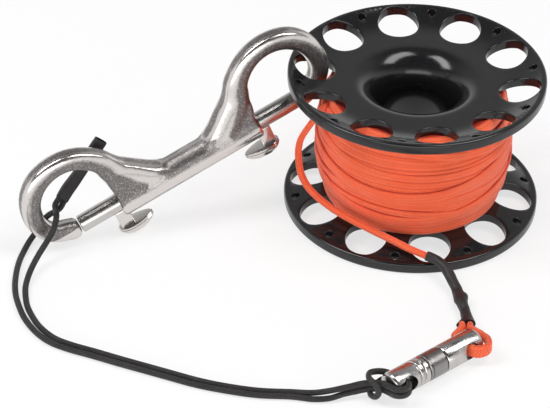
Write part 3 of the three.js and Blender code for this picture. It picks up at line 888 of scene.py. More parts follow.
@dataclass
class MeshParts:
    """Vertices in millimetres from the spool's foot, faces, and each vertex's place on its strand."""

    verts: list[np.ndarray] = field(default_factory=list)
    faces: list[tuple[int, ...]] = field(default_factory=list)
    strand: list[np.ndarray] = field(default_factory=list)
    count: int = 0

    def grid(self, rings: np.ndarray, strand: np.ndarray | None = None, caps: bool = True) -> None:
        """Adds a skin through rings of points.

        Args:
            rings: Points as (ring, place in ring, xyz).
            strand: Millimetres along and turns round, as (ring, place in ring, 2).
            caps: Whether the two end rings are filled.
        """
        rows, sides = rings.shape[:2]
        base = self.count
        self.verts.append(rings.reshape(-1, 3))
        if strand is None:
            strand = np.zeros((rows, sides, 2))
        self.strand.append(strand.reshape(-1, 2))
        self.count += rows * sides
        for k in range(rows - 1):
            for i in range(sides):
                j = (i + 1) % sides
                a, b = base + k * sides, base + (k + 1) * sides
                self.faces.append((a + i, a + j, b + j, b + i))
        if caps:
            self.faces.append(tuple(base + i for i in reversed(range(sides))))
            self.faces.append(tuple(base + (rows - 1) * sides + i for i in range(sides)))

    def tube(
        self,
        line: np.ndarray,
        side: np.ndarray,
        half_width: np.ndarray | float,
        half_height: np.ndarray | float,
        sides: int = 16,
        fullness: float = 1.0,
        round_ends: float = 0.0,
        start: float = 0.0,
    ) -> None:
        """Adds a strand with an oval section.

        Args:
            line: Its centre line.
            side: Its width direction at each point.
            half_width: Half its width, once or at each point.
            half_height: Half its height, once or at each point.
            sides: Points round it.
            fullness: 1 for an ellipse, less for squarer shoulders.
            round_ends: Length over which both ends draw in to a blunt point.
            start: Millimetres along at which the braid begins.
        """
        ahead = tangents(line)
        up = unit(np.cross(ahead, side))
        wide = unit(np.cross(up, ahead))
        w = np.broadcast_to(half_width, len(line)).astype(float)
        h = np.broadcast_to(half_height, len(line)).astype(float)
        along = lengths(line)
        if round_ends > 0:
            near = np.minimum(along, along[-1] - along) / round_ends
            draw = np.sqrt(np.clip(1 - (1 - np.clip(near, 0, 1)) ** 2, 0.04, 1))
            w, h = w * draw, h * draw
        turn = around(sides)
        c, s = powered(np.cos(turn), fullness), powered(np.sin(turn), fullness)
        rings = oval_rings(line, wide, up, w[:, None] * c, h[:, None] * s)
        self.grid(rings, strand_place(along + start, turn))

    def turned(
        self,
        profile: Sequence[Sequence[float]],
        segments: int,
        centre: np.ndarray,
        axis: np.ndarray,
        out: np.ndarray,
    ) -> None:
        """Adds a turned solid; a profile that starts and ends on the axis closes it.

        Args:
            profile: (radius, along) in order.
            segments: Points round it.
            centre: Its origin.
            axis: Its direction.
            out: A direction square to it.
        """
        r = np.array([p[0] for p in profile], float)
        z = np.array([p[1] for p in profile], float)
        turn = around(segments)
        across = np.cross(axis, out)
        spokes = np.cos(turn)[:, None] * out + np.sin(turn)[:, None] * across
        rings = centre + z[:, None, None] * axis + r[:, None, None] * spokes[None]
        self.grid(rings, strand_place(z, turn), caps=False)

    def build(self, name: str, weld: float = 0.0) -> bpy.types.Object:
        """Makes the object, at the row frame's origin.

        Args:
            name: The piece's name.
            weld: Distance in millimetres within which vertices merge.

        Returns:
            The new object, shaded smooth.
        """
        verts = (np.vstack(self.verts) + AXIS) * MM
        mesh = bpy.data.meshes.new(name)
        mesh.from_pydata(verts.tolist(), [], self.faces)
        strand = np.hstack([np.vstack(self.strand), np.zeros((len(verts), 1))])
        mesh.attributes.new("strand", "FLOAT_VECTOR", "POINT").data.foreach_set(
            "vector", strand.astype(np.float32).ravel()
        )
        if weld > 0:
            edit = bmesh.new()
            edit.from_mesh(mesh)
            bmesh.ops.remove_doubles(edit, verts=edit.verts, dist=weld * MM)
            bmesh.ops.dissolve_degenerate(edit, edges=edit.edges, dist=weld * MM * 0.1)
            bmesh.ops.recalc_face_normals(edit, faces=edit.faces)
            edit.to_mesh(mesh)
            edit.free()
        mesh.shade_smooth()
        return added(name, mesh)


def applied(obj: bpy.types.Object) -> bpy.types.Object:
    """Makes the object's modifiers part of its mesh.

    Args:
        obj: The object.

    Returns:
        The same object without modifiers.
    """
    graph = bpy.context.evaluated_depsgraph_get()
    mesh = bpy.data.meshes.new_from_object(obj.evaluated_get(graph))
    old = obj.data
    obj.modifiers.clear()
    obj.data = mesh
    bpy.data.meshes.remove(old)
    return obj


def carve(
    obj: bpy.types.Object, tools: Iterable[bpy.types.Object], operation: str = "DIFFERENCE"
) -> bpy.types.Object:
    """Cuts with, or adds, other objects, and deletes them.

    Args:
        obj: The object that is changed.
        tools: The other objects.
        operation: DIFFERENCE or UNION.

    Returns:
        The changed object.
    """
    tools = list(tools)
    for tool in tools:
        modifier = obj.modifiers.new("carve", "BOOLEAN")
        modifier.operation, modifier.object, modifier.solver = operation, tool, "EXACT"
    applied(obj)
    for tool in tools:
        mesh = tool.data
        bpy.data.objects.remove(tool)
        bpy.data.meshes.remove(mesh)
    return obj


def soften(obj: bpy.types.Object, width: float, angle: float, segments: int = 2) -> bpy.types.Object:
    """Rounds the sharp edges and shades the rest smooth.

    Args:
        obj: The object.
        width: Width of the rounding, in millimetres.
        angle: Edges sharper than this are rounded, in degrees.
        segments: Steps across each rounding.

    Returns:
        The changed object.
    """
    modifier = obj.modifiers.new("soften", "BEVEL")
    modifier.width, modifier.segments = width * MM, segments
    modifier.limit_method, modifier.angle_limit = "ANGLE", math.radians(angle)
    applied(obj)
    obj.data.shade_smooth()
    return obj


def crease(obj: bpy.types.Object, angle: float = 40.0) -> bpy.types.Object:
    """Shades smooth but keeps edges sharper than an angle crisp.

    Args:
        obj: The object.
        angle: The angle in degrees.

    Returns:
        The same object.
    """
    obj.data.shade_smooth()
    edit = bmesh.new()
    edit.from_mesh(obj.data)
    for edge in edit.edges:
        edge.smooth = len(edge.link_faces) == 2 and edge.calc_face_angle() < math.radians(angle)
    edit.to_mesh(obj.data)
    edit.free()
    return obj


def hand_over(
    obj: bpy.types.Object, material: bpy.types.Material, slot: Slot, body: Body | None, *nodes: str
) -> bpy.types.Object:
    """Dresses a piece, lets it stand for CAD nodes, and puts it on its body.

    Args:
        obj: The piece.
        material: Its material.
        slot: Not used.
        body: The body it rides on; none for a piece that rides on no body.
        nodes: The CAD nodes that it stands for.

    Returns:
        The piece.
    """
    obj.data.materials.clear()
    obj.data.materials.append(material)
    if nodes:
        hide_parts(*nodes)
    if body is not None:
        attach(obj, body.value)
    LOG.info("%s: %d faces", obj.name, len(obj.data.polygons))
    return obj


def row_point(p: Sequence[float]) -> Point:
    """A point from the spool's foot in millimetres, as metres in the row frame.

    Args:
        p: The point.

    Returns:
        The point as the row frame has it.
    """
    q = (np.array(p, float) + AXIS) * MM
    return float(q[0]), float(q[1]), float(q[2])


# Camera, light and floor


@dataclass
class Maker:
    """Something that builds pieces with the scene's materials."""

    palette: Palette


@dataclass(frozen=True)
class Lamp:
    """A soft rectangular lamp; lengths in metres, power in watts."""

    name: str
    place: Point
    size: Pair
    power: float
    aim: Point = (0.0, 0.0, 0.02)

    def build(self) -> None:
        """Adds the lamp to the scene."""
        data = bpy.data.lights.new(self.name, "AREA")
        data.shape, data.energy = "RECTANGLE", self.power
        data.size, data.size_y = self.size
        made = added(self.name, data)
        made.location = self.place
        made.rotation_mode = "QUATERNION"
        made.rotation_quaternion = (Vector(self.aim) - Vector(self.place)).to_track_quat("-Z", "Y")


@dataclass
class Studio(Maker):
    """Camera at the photograph's angle, room, lamps and floor.

    The camera's lengths are in millimetres and the floor's in metres.
    """

    elevation: float = 35.8735
    roll: float = 1.5917
    distance: float = 1022.7168
    shift_right: float = 45.9607
    shift_up: float = 2.0935
    focal_pixels: float = 3000.0
    frame_width: float = 550.0
    sensor: float = 36.0
    band_low: float = 0.2
    band_high: float = 0.5
    band_level: float = 0.95
    front_level: float = 0.09
    back_level: float = 0.42
    ceiling_low: float = 0.68
    ceiling_high: float = 0.9
    ceiling_share: float = 0.3
    wall_turn: Pair = (-0.3, 0.6)
    floor_half: float = 3.0
    lamps: tuple[Lamp, ...] = (
        Lamp("box_right", (0.46, -0.12, 0.9), (0.34, 0.7), 5.0),
        Lamp("box_left", (-0.52, -0.12, 0.86), (0.3, 0.7), 5.0),
        Lamp("low_fill", (-0.1, -1.3, 0.25), (1.6, 0.5), 6.0),
    )

    def camera(self) -> None:
        """Makes the scene's camera."""
        e, r = math.radians(self.elevation), math.radians(self.roll)
        back = np.array([0, -math.cos(e), math.sin(e)])
        right = np.array([1.0, 0, 0])
        up = np.cross(back, right)
        across = right * math.cos(r) + up * math.sin(r)
        upward = -right * math.sin(r) + up * math.cos(r)
        place = -self.shift_right * across - self.shift_up * upward + self.distance * back
        lens = bpy.data.cameras.new("camera")
        lens.sensor_width = self.sensor
        lens.lens = self.focal_pixels * self.sensor / self.frame_width
        lens.clip_start, lens.clip_end = 0.01, 50
        made = added("camera", lens)
        rotation = Matrix([across, upward, back]).transposed().to_4x4()
        made.matrix_world = Matrix.Translation(row_point(place)) @ rotation
        bpy.context.scene.camera = made

    def world(self) -> None:
        """Makes the room: a pale band all round, darker walls above it, and a dark ceiling."""
        world = bpy.data.worlds.new("room")
        bpy.context.scene.world = world
        tree = Tree(world)
        coordinate = tree.node("ShaderNodeTexCoord")
        parts = tree.node("ShaderNodeSeparateXYZ", s0=coordinate.outputs["Generated"])
        back, height = Value(tree, parts.outputs[1]), Value(tree, parts.outputs[2])
        upper = self.front_level + (self.back_level - self.front_level) * back.ramp(*self.wall_turn)
        above = height.ramp(self.band_low, self.band_high)
        overhead = height.ramp(self.ceiling_low, self.ceiling_high)
        wall = self.band_level + (upper - self.band_level) * above
        level = wall * (1.0 - overhead * (1.0 - self.ceiling_share))
        shade = tree.node("ShaderNodeBackground", Color=(1.0, 1.0, 1.0), Strength=level)
        tree.node("ShaderNodeOutputWorld", Surface=shade.outputs[0])

    def floor(self) -> None:
        """Makes the floor."""
        mesh = bpy.data.meshes.new("floor")
        half = self.floor_half
        corners = [(-half, -half, 0), (half, -half, 0), (half, half, 0), (-half, half, 0)]
        mesh.from_pydata(corners, [], [(0, 1, 2, 3)])
        mesh.materials.append(self.palette.floor)
        made = added("floor", mesh)

    def build(self) -> None:
        """Makes the camera, room, lamps and floor."""
        bpy.context.scene.view_settings.view_transform = "Standard"
        self.camera()
        self.world()
        self.floor()
        for lamp in self.lamps:
            lamp.build()


# Spool


@dataclass
class Spool(Maker):
    """The spool: two dished flanges with ten holes each, and a flared bore for a finger."""

    radius: float = 43.0
    height: float = 51.3
    rim_height: float = 3.7
    rim_inner: float = 41.0
    rim_round: float = 0.8
    rim_step: float = 0.15
    plate: float = 3.0
    dish: float = 3.4
    dish_radius: float = 29.0
    neck_radius: float = 13.0
    mouth_radius: float = 22.0
    flare_height: float = 12.0
    hub_radius: float = 16.0
    hole_count: int = 10
    hole_radius: float = 6.9
    hole_pitch: float = 34.35
    hole_phase: float = 99.4
    hole_edge: float = 0.42
    hole_sides: int = 72
    pin_radius: float = 1.35
    pin_edge: float = 0.2
    pin_sides: int = 24
    pin_pitch: float = 39.35
    segments: int = 240
    step_width: float = 0.3
    seam_half: float = 0.22
    seam_depth: float = 0.14
    mesh_step: float = 1.2
    mesh_spokes: int = 150
    mesh_margin: float = 0.25
    round_steps: int = 8
    edge_steps: int = 4

    def outer_face(self, r: np.ndarray) -> np.ndarray:
        """Height of the upper flange's outer face.

        Args:
            r: Radii.

        Returns:
            Heights.
        """
        flat = self.height - self.dish
        share = np.clip((r - self.dish_radius) / (self.rim_inner - self.dish_radius), 0, 1)
        step = eased(r, self.rim_inner, self.rim_inner + self.step_width)
        return flat + (self.dish - self.rim_step) * share**2 + self.rim_step * step

    def inner_face(self, r: np.ndarray) -> np.ndarray:
        """Height of the upper flange's face towards the line.

        Args:
            r: Radii.

        Returns:
            Heights.
        """
        flat = self.height - self.dish - self.plate
        share = np.clip((r - self.dish_radius) / (self.rim_inner - self.dish_radius), 0, 1)
        return flat + (self.height - self.rim_height - flat) * share**2

    def holes(self) -> list[tuple[float, float, float, int]]:
        """Every hole of a flange.

        Returns:
            Centre x and y, radius, and points round it.
        """
        found = []
        for k in range(self.hole_count):
            turn = math.radians(self.hole_phase + 360 / self.hole_count * k)
            x, y = self.hole_pitch * math.cos(turn), self.hole_pitch * math.sin(turn)
            found.append((x, y, self.hole_radius, self.hole_sides))
            between = turn + math.pi / self.hole_count
            x, y = self.pin_pitch * math.cos(between), self.pin_pitch * math.sin(between)
            found.append((x, y, self.pin_radius, self.pin_sides))
        return found

    def face(
        self,
        parts: MeshParts,
        low: float,
        high: float,
        height: Callable[[np.ndarray], np.ndarray],
        up: bool,
    ) -> None:
        """Adds one pierced face of the upper flange.

        Args:
            parts: The mesh so far.
            low: Its inner radius.
            high: Its outer radius.
            height: Height at a radius.
            up: Whether it faces up.
        """
        points: list[Pair] = []
        edges: list[tuple[int, int]] = []

        def ring(x: float, y: float, r: float, count: int) -> None:
            """Adds a closed ring of points and its edges."""
            first = len(points)
            for i in range(count):
                t = TAU * i / count
                points.append((x + r * math.cos(t), y + r * math.sin(t)))
                edges.append((first + i, first + (i + 1) % count))

        ring(0, 0, low, self.segments)
        ring(0, 0, high, self.segments)
        holes = self.holes()
        for x, y, r, count in holes:
            ring(x, y, r + self.edge_of(r), count)

        def clear(x: float, y: float, margin: float) -> bool:
            """Whether a point lies outside every hole by a margin."""
            return all(
                math.hypot(x - hx, y - hy) > hr + self.edge_of(hr) + margin for hx, hy, hr, _ in holes
            )

        step_rings = [self.rim_inner + self.step_width * share for share in (0.0, 0.5, 1.0)]
        even_rings = np.arange(low + self.mesh_step, high - self.mesh_margin, self.mesh_step).tolist()
        for k, r in enumerate(even_rings + step_rings):
            for i in range(self.mesh_spokes):
                t = TAU * (i + 0.5 * (k % 2)) / self.mesh_spokes
                x, y = r * math.cos(t), r * math.sin(t)
                if clear(x, y, self.mesh_margin):
                    points.append((x, y))
        verts, _, faces, *_ = delaunay_2d_cdt([Vector(p) for p in points], edges, [], 0, 1e-7)
        flat = np.array([[v.x, v.y] for v in verts])
        z = height(np.hypot(flat[:, 0], flat[:, 1]))
        kept = []
        for f in faces:
            cx, cy = flat[list(f)].mean(axis=0)
            r = math.hypot(cx, cy)
            if low < r < high and clear(cx, cy, -0.002):
                kept.append(tuple(f) if up else tuple(reversed(f)))
        base = parts.count
        parts.verts.append(np.column_stack([flat, z]))
        parts.strand.append(np.zeros((len(flat), 2)))
        parts.count += len(flat)
        parts.faces.extend(tuple(base + i for i in f) for f in kept)

    def edge_of(self, r: float) -> float:
        """Rounding of a hole's edge.

        Args:
            r: The hole's radius.

        Returns:
            The rounding's radius.
        """
        return self.hole_edge if r > self.pin_radius else self.pin_edge

    def hole_wall(self, parts: MeshParts, x: float, y: float, r: float, count: int) -> None:
        """Adds a hole's wall with rounded edges at both faces.

        Args:
            parts: The mesh so far.
            x: The hole's centre.
            y: The hole's centre.
            r: The hole's radius.
            count: Points round it.
        """
        edge, turn = self.edge_of(r), around(count)
        from_axis = np.hypot(x + (r + edge) * np.cos(turn), y + (r + edge) * np.sin(turn))
        angles = [math.pi / 2 * k / self.edge_steps for k in range(self.edge_steps + 1)]
        rings = []
        for face, inwards, order in (
            (self.outer_face(from_axis), -1, angles),
            (self.inner_face(from_axis), 1, angles[::-1]),
        ):
            for a in order:
                wall = r + edge * (1 - math.sin(a))
                z = face + inwards * edge * (1 - math.cos(a))
                rings.append(np.column_stack([x + wall * np.cos(turn), y + wall * np.sin(turn), z]))
        parts.grid(np.array(rings), caps=False)

    def flange(self) -> MeshParts:
        """The upper flange with its half of the bore and hub.

        Returns:
            Its mesh.
        """
        parts = MeshParts()
        edge = self.radius - self.rim_round
        self.face(parts, self.mouth_radius, edge, self.outer_face, True)
        self.face(parts, self.hub_radius, edge, self.inner_face, False)
        for x, y, r, count in self.holes():
            self.hole_wall(parts, x, y, r, count)
        profile = []
        rim_top, rim_foot = self.height - self.rim_round, self.height - self.rim_height + self.rim_round
        for centre, start in ((rim_top, 1.0), (rim_foot, 0.0)):
            for k in range(self.round_steps + 1):
                a = math.pi / 2 * (start - k / self.round_steps)
                away, rise = self.rim_round * math.cos(a), self.rim_round * math.sin(a)
                profile.append((edge + away, centre + rise))
        middle, out = np.zeros(3), np.array([1.0, 0, 0])
        parts.turned(profile, self.segments, middle, UP, out)
        flat = self.height - self.dish
        bore = []
        flare_steps = 2 * self.round_steps
        for k in range(flare_steps + 1):
            a = math.pi / 2 * k / flare_steps
            radius = self.mouth_radius - (self.mouth_radius - self.neck_radius) * math.cos(a)
            bore.append((radius, flat - self.flare_height + self.flare_height * math.sin(a)))
        seam = [(self.neck_radius + self.seam_depth, 0.0), (self.neck_radius, self.seam_half)]
        bore[:0] = [(radius, self.height / 2 + rise) for radius, rise in seam]
        parts.turned(bore, self.segments, middle, UP, out)
        inner = self.height - self.dish - self.plate
        hub = [(self.hub_radius, inner), (self.hub_radius, self.height / 2)]
        parts.turned(hub, self.segments, middle, UP, out)
        return parts

    def build(self) -> None:
        """Builds the spool."""
        parts = self.flange()
        count = parts.count
        verts = np.vstack(parts.verts)
        mirrored = verts.copy()
        mirrored[:, 2] = self.height - mirrored[:, 2]
        parts.verts.append(mirrored)
        parts.strand.append(np.zeros((count, 2)))
        parts.faces.extend([tuple(reversed([i + count for i in f])) for f in parts.faces])
        parts.count *= 2
        made = parts.build("spool_moulding", weld=0.004)
        crease(made, 38)
        hand_over(made, self.palette.plastic, Slot.PLASTIC, Body.SPOOL, "spool_upper", "spool_lower")


# Wound line


@dataclass
class Winding(Maker):
    """The line on the spool: flat turns that ride over one another, and later turns across them."""

    middle_radius: float = 33.1
    end_radius: float = 30.5
    low: float = 7.7
    high: float = 43.6
    turns: int = 17
    half_width: float = 1.42
    half_height: float = 0.68
    shingle: float = 0.16
    seed: int = 11
    turn_steps: int = 110
    tilt_spread: float = 0.34
    ripple_spread: float = 0.16
    climb_from: float = 0.86
    centre_depth: float = 1.2
    depth_wander: float = 0.16
    depth_wave: float = 0.14
    roll_wave: float = 0.1
    across_steps: int = 170
    across_depth: float = 0.72
    across_rise: float = 0.6
    across_ripple: float = 0.5
    across_roll: float = 0.12
    dive_share: float = 0.08
    dive_depth: float = 1.6
    bed_inner: float = 16.4
    bed_depth: float = 1.7
    bed_beyond: float = 1.0
    across: tuple[tuple[float, float, float, float], ...] = (
        (17.0, 5.2, -104.0, 0.0),
        (20.5, 8.4, -97.0, 0.25),
        (22.3, 8.8, -92.0, 0.5),
        (24.6, 3.6, -150.0, 0.1),
        (29.0, 6.6, -112.0, 0.3),
        (31.4, 7.4, -104.0, 0.55),
        (34.8, 4.4, -78.0, 0.2),
        (38.0, 3.2, 20.0, 0.35),
        (13.6, 3.4, 60.0, 0.15),
    )

    def surface(self, z: np.ndarray) -> np.ndarray:
        """Radius of the outside of the line at a height.

        Args:
            z: Heights.

        Returns:
            Radii.
        """
        middle, half = (self.low + self.high) / 2, (self.high - self.low) / 2
        share = np.clip((z - middle) / half, -1.05, 1.05)
        return self.middle_radius - (self.middle_radius - self.end_radius) * share**2

    def lay(
        self,
        parts: MeshParts,
        turn: np.ndarray,
        z: np.ndarray,
        depth: np.ndarray,
        roll: np.ndarray,
        start: float,
    ) -> float:
        """Lays a length of line on the winding.

        Args:
            parts: The mesh so far.
            turn: Angles along it, in radians.
            z: Heights along it.
            depth: How far its centre lies under the outside.
            roll: Tilt of its flat side against the surface, in radians.
            start: Millimetres of line laid before.

        Returns:
            Millimetres of line laid so far.
        """
        r = self.surface(z) - depth
        line = np.column_stack([r * np.cos(turn), r * np.sin(turn), z])
        middle, half = (self.low + self.high) / 2, (self.high - self.low) / 2
        slope = -2 * (self.middle_radius - self.end_radius) * (z - middle) / half**2
        lean = np.arctan(np.clip(slope, -0.6, 0.6)) + roll
        side = np.column_stack([np.sin(lean) * np.cos(turn), np.sin(lean) * np.sin(turn), np.cos(lean)])
        parts.tube(line, side, self.half_width, self.half_height, 12, 0.8, start=start)
        return start + float(lengths(line)[-1])

    def build(self) -> None:
        """Builds the turns and the bed under them."""
        wander = np.random.default_rng(self.seed)
        parts = MeshParts()
        pitch = (self.high - self.low) / (self.turns - 1)
        turns, heights, depths, rolls = [], [], [], []
        for k in range(self.turns):
            share = np.arange(self.turn_steps) / self.turn_steps
            turn = math.pi / 2 + TAU * (k + share)
            tilt, phase = wander.normal(0, self.tilt_spread), wander.uniform(0, TAU)
            ripple = wander.normal(0, self.ripple_spread) * np.sin(2 * turn + phase)
            climb = eased(share, self.climb_from, 1.0)
            free = min(k, self.turns - 1 - k, 1)
            turns.append(turn)
            level = self.low + pitch * (k + climb * (k < self.turns - 1))
            heights.append(level + free * (tilt * np.cos(turn - phase) + ripple))
            wave = wander.uniform(-self.depth_wander, self.depth_wander)
            wave = wave + self.depth_wave * np.sin(turn * 2 + wander.uniform(0, TAU))
            depths.append(self.centre_depth + wave)
            rolls.append(self.shingle * wander.normal(0, 1) + self.roll_wave * np.sin(turn * 2 + phase))
        evened = [
            evened_out(np.concatenate(rows), width)
            for rows, width in ((turns, 1), (heights, 9), (depths, 31), (rolls, 31))
        ]
        length = self.lay(parts, *evened, 0.0)
        for k, (middle, tilt, lowest, above) in enumerate(self.across):
            share = np.linspace(0, 1, self.across_steps)
            turn = math.pi / 2 + TAU * share
            swing = middle - tilt * np.cos(turn - math.radians(lowest))
            swing = swing + self.across_ripple * np.sin(2 * turn + k * 1.7)
            sunk = 1 - eased(np.minimum(share, 1 - share), 0, self.dive_share)
            depth = self.across_depth - above * self.across_rise + sunk * self.dive_depth
            roll = self.across_roll * np.sin(turn * 3 + k)
            length = self.lay(parts, turn, np.clip(swing, self.low, self.high), depth, roll, length)
        made = crease(parts.build("wound_line"), 75)
        hand_over(made, self.palette.wound, Slot.LINE, Body.SPOOL, "line_winding")
        bed = MeshParts()
        z = np.linspace(self.low - self.bed_beyond, self.high + self.bed_beyond, 24)
        outer = [(float(self.surface(np.array(h))) - self.bed_depth, float(h)) for h in z]
        inner = self.bed_inner
        profile = [(inner, z[0]), *outer, (inner, z[-1]), (inner, z[0])]
        bed.turned(profile, 96, np.zeros(3), UP, np.array([1.0, 0, 0]))
        made = crease(bed.build("wound_line_bed", weld=0.002))
        hand_over(made, self.palette.bed, Slot.LINE, Body.SPOOL, "line_core")


# Pieces with axes of their own


class Axes(Maker):
    """A piece's own axes, on a foot in millimetres from the spool's foot."""

    x: np.ndarray
    y: np.ndarray
    z: np.ndarray
    foot: np.ndarray

    def at(self, p: Sequence[float]) -> np.ndarray:
        """A point of these axes, from the spool's foot.

        Args:
            p: The point.

        Returns:
            The same point, in millimetres from the spool's foot.
        """
        return self.foot + p[0] * self.x + p[1] * self.y + p[2] * self.z

    def placed(self, local: np.ndarray) -> np.ndarray:
        """Points of these axes, from the spool's foot.

        Args:
            local: One point a row.

        Returns:
            The same points, in millimetres from the spool's foot.
        """
        return self.foot + local @ np.vstack([self.x, self.y, self.z])


# Free line and its sleeve


@dataclass
class FreeLine(Maker):
    """The line's free end, the shrunk sleeve over its knot, and its loop through the swivel."""

    diameter: float = 2.3
    flatness: Pair = (1.12, 0.86)
    knot_at: int = 7
    knot_spread: float = 1.6
    knot_size: float = 0.28
    lumps: tuple[tuple[float, int, float], ...] = ((0.06, 2, 0.7), (0.05, 3, -1.1), (0.09, 1, 0.45))
    lump_share: float = 0.6
    mouth_spread: float = 0.35
    lip_shares: Pair = (0.72, 0.78)
    lip_depths: Pair = (1.2, 1.4)
    tail: tuple[Point, ...] = (
        (-29.3, -2.5, 43.3), (-29.5, -5.6, 43.2), (-30.8, -8.8, 42.2), (-32.9, -11.6, 40.6),
        (-34.9, -13.4, 38.4), (-37.8, -14.4, 33.4), (-38.6, -13.9, 28.6), (-38.4, -13.6, 24.0),
        (-37.3, -14.4, 18.5), (-34.5, -16.7, 14.5), (-27.0, -23.2, 11.6), (-15.6, -31.6, 10.2),
        (-7.0, -35.8, 8.4), (-1.4, -38.6, 7.2), (4.6, -41.4, 6.3),
    )
    sleeve: tuple[tuple[float, float, float, float], ...] = (
        (4.3, -41.3, 6.35, 1.5), (4.88, -41.53, 6.26, 1.62), (7.5, -42.75, 5.87, 1.62),
        (10.2, -45.4, 5.2, 1.66), (12.3, -49.2, 3.8, 1.75), (13.7, -52.8, 2.5, 1.8),
        (14.6, -56.0, 2.2, 1.85), (15.3, -58.5, 2.4, 2.25), (15.9, -61.6, 2.2, 1.85),
        (16.5, -65.0, 1.8, 1.6), (16.9, -69.0, 1.9, 1.75), (16.6, -72.1, 2.5, 2.4),
    )

    def tail_line(self) -> np.ndarray:
        """Centre line of the free line, from the winding to the sleeve.

        Returns:
            Its points, in millimetres from the spool's foot.
        """
        return spline(self.tail, 0.6)

    def build_tail(self) -> bpy.types.Object:
        """Builds the free line.

        Returns:
            The piece.
        """
        line = self.tail_line()
        parts = MeshParts()
        half_width, half_height = (self.diameter / 2 * share for share in self.flatness)
        parts.tube(line, carried(line, UP), half_width, half_height, 16, 0.9)
        made = crease(parts.build("free_line"), 60)
        return hand_over(made, self.palette.line, Slot.LINE, Body.SPOOL, "line_tail")

    def build_sleeve(self) -> bpy.types.Object:
        """Builds the shrunk sleeve, with a lip at each end.

        Returns:
            The piece.
        """
        route = np.array(self.sleeve)
        line = spline(route[:, :3], 0.3)
        marks = lengths(route[:, :3])
        at = np.linspace(0, marks[-1], len(line))
        radius = evened_out(np.interp(at, marks, route[:, 3]), 7)
        turn = around(SLEEVE_SIDES)
        side = carried(line, (1, 0, 0))
        up = np.cross(tangents(line), side)
        lumps = sum(
            size * np.sin(count * turn[None, :] + at[:, None] * drift)
            for size, count, drift in self.lumps
        )
        knot = np.exp(-(((at - marks[self.knot_at]) / self.knot_spread) ** 2))[:, None]
        lumps = lumps + knot * self.knot_size * np.sin(2 * turn[None, :] + 0.6)
        r = radius[:, None] * (1 + lumps * self.lump_share)
        mouth = (at - marks[-3]) / (marks[-1] - marks[-3])
        wide = np.where(mouth > 0, 1 + self.mouth_spread * mouth, 1.0)[:, None]
        rings = oval_rings(line, side, up, r * np.cos(turn) * wide, r * np.sin(turn) / wide)
        rings, along = with_lips(line, rings, at, self.lip_shares, self.lip_depths)
        parts = MeshParts()
        parts.grid(rings, strand_place(along, turn))
        made = crease(parts.build("knot_sleeve"), 50)
        return hand_over(made, self.palette.shrink, Slot.SHRINK, Body.SPOOL, "line_sleeve")


# Swivel


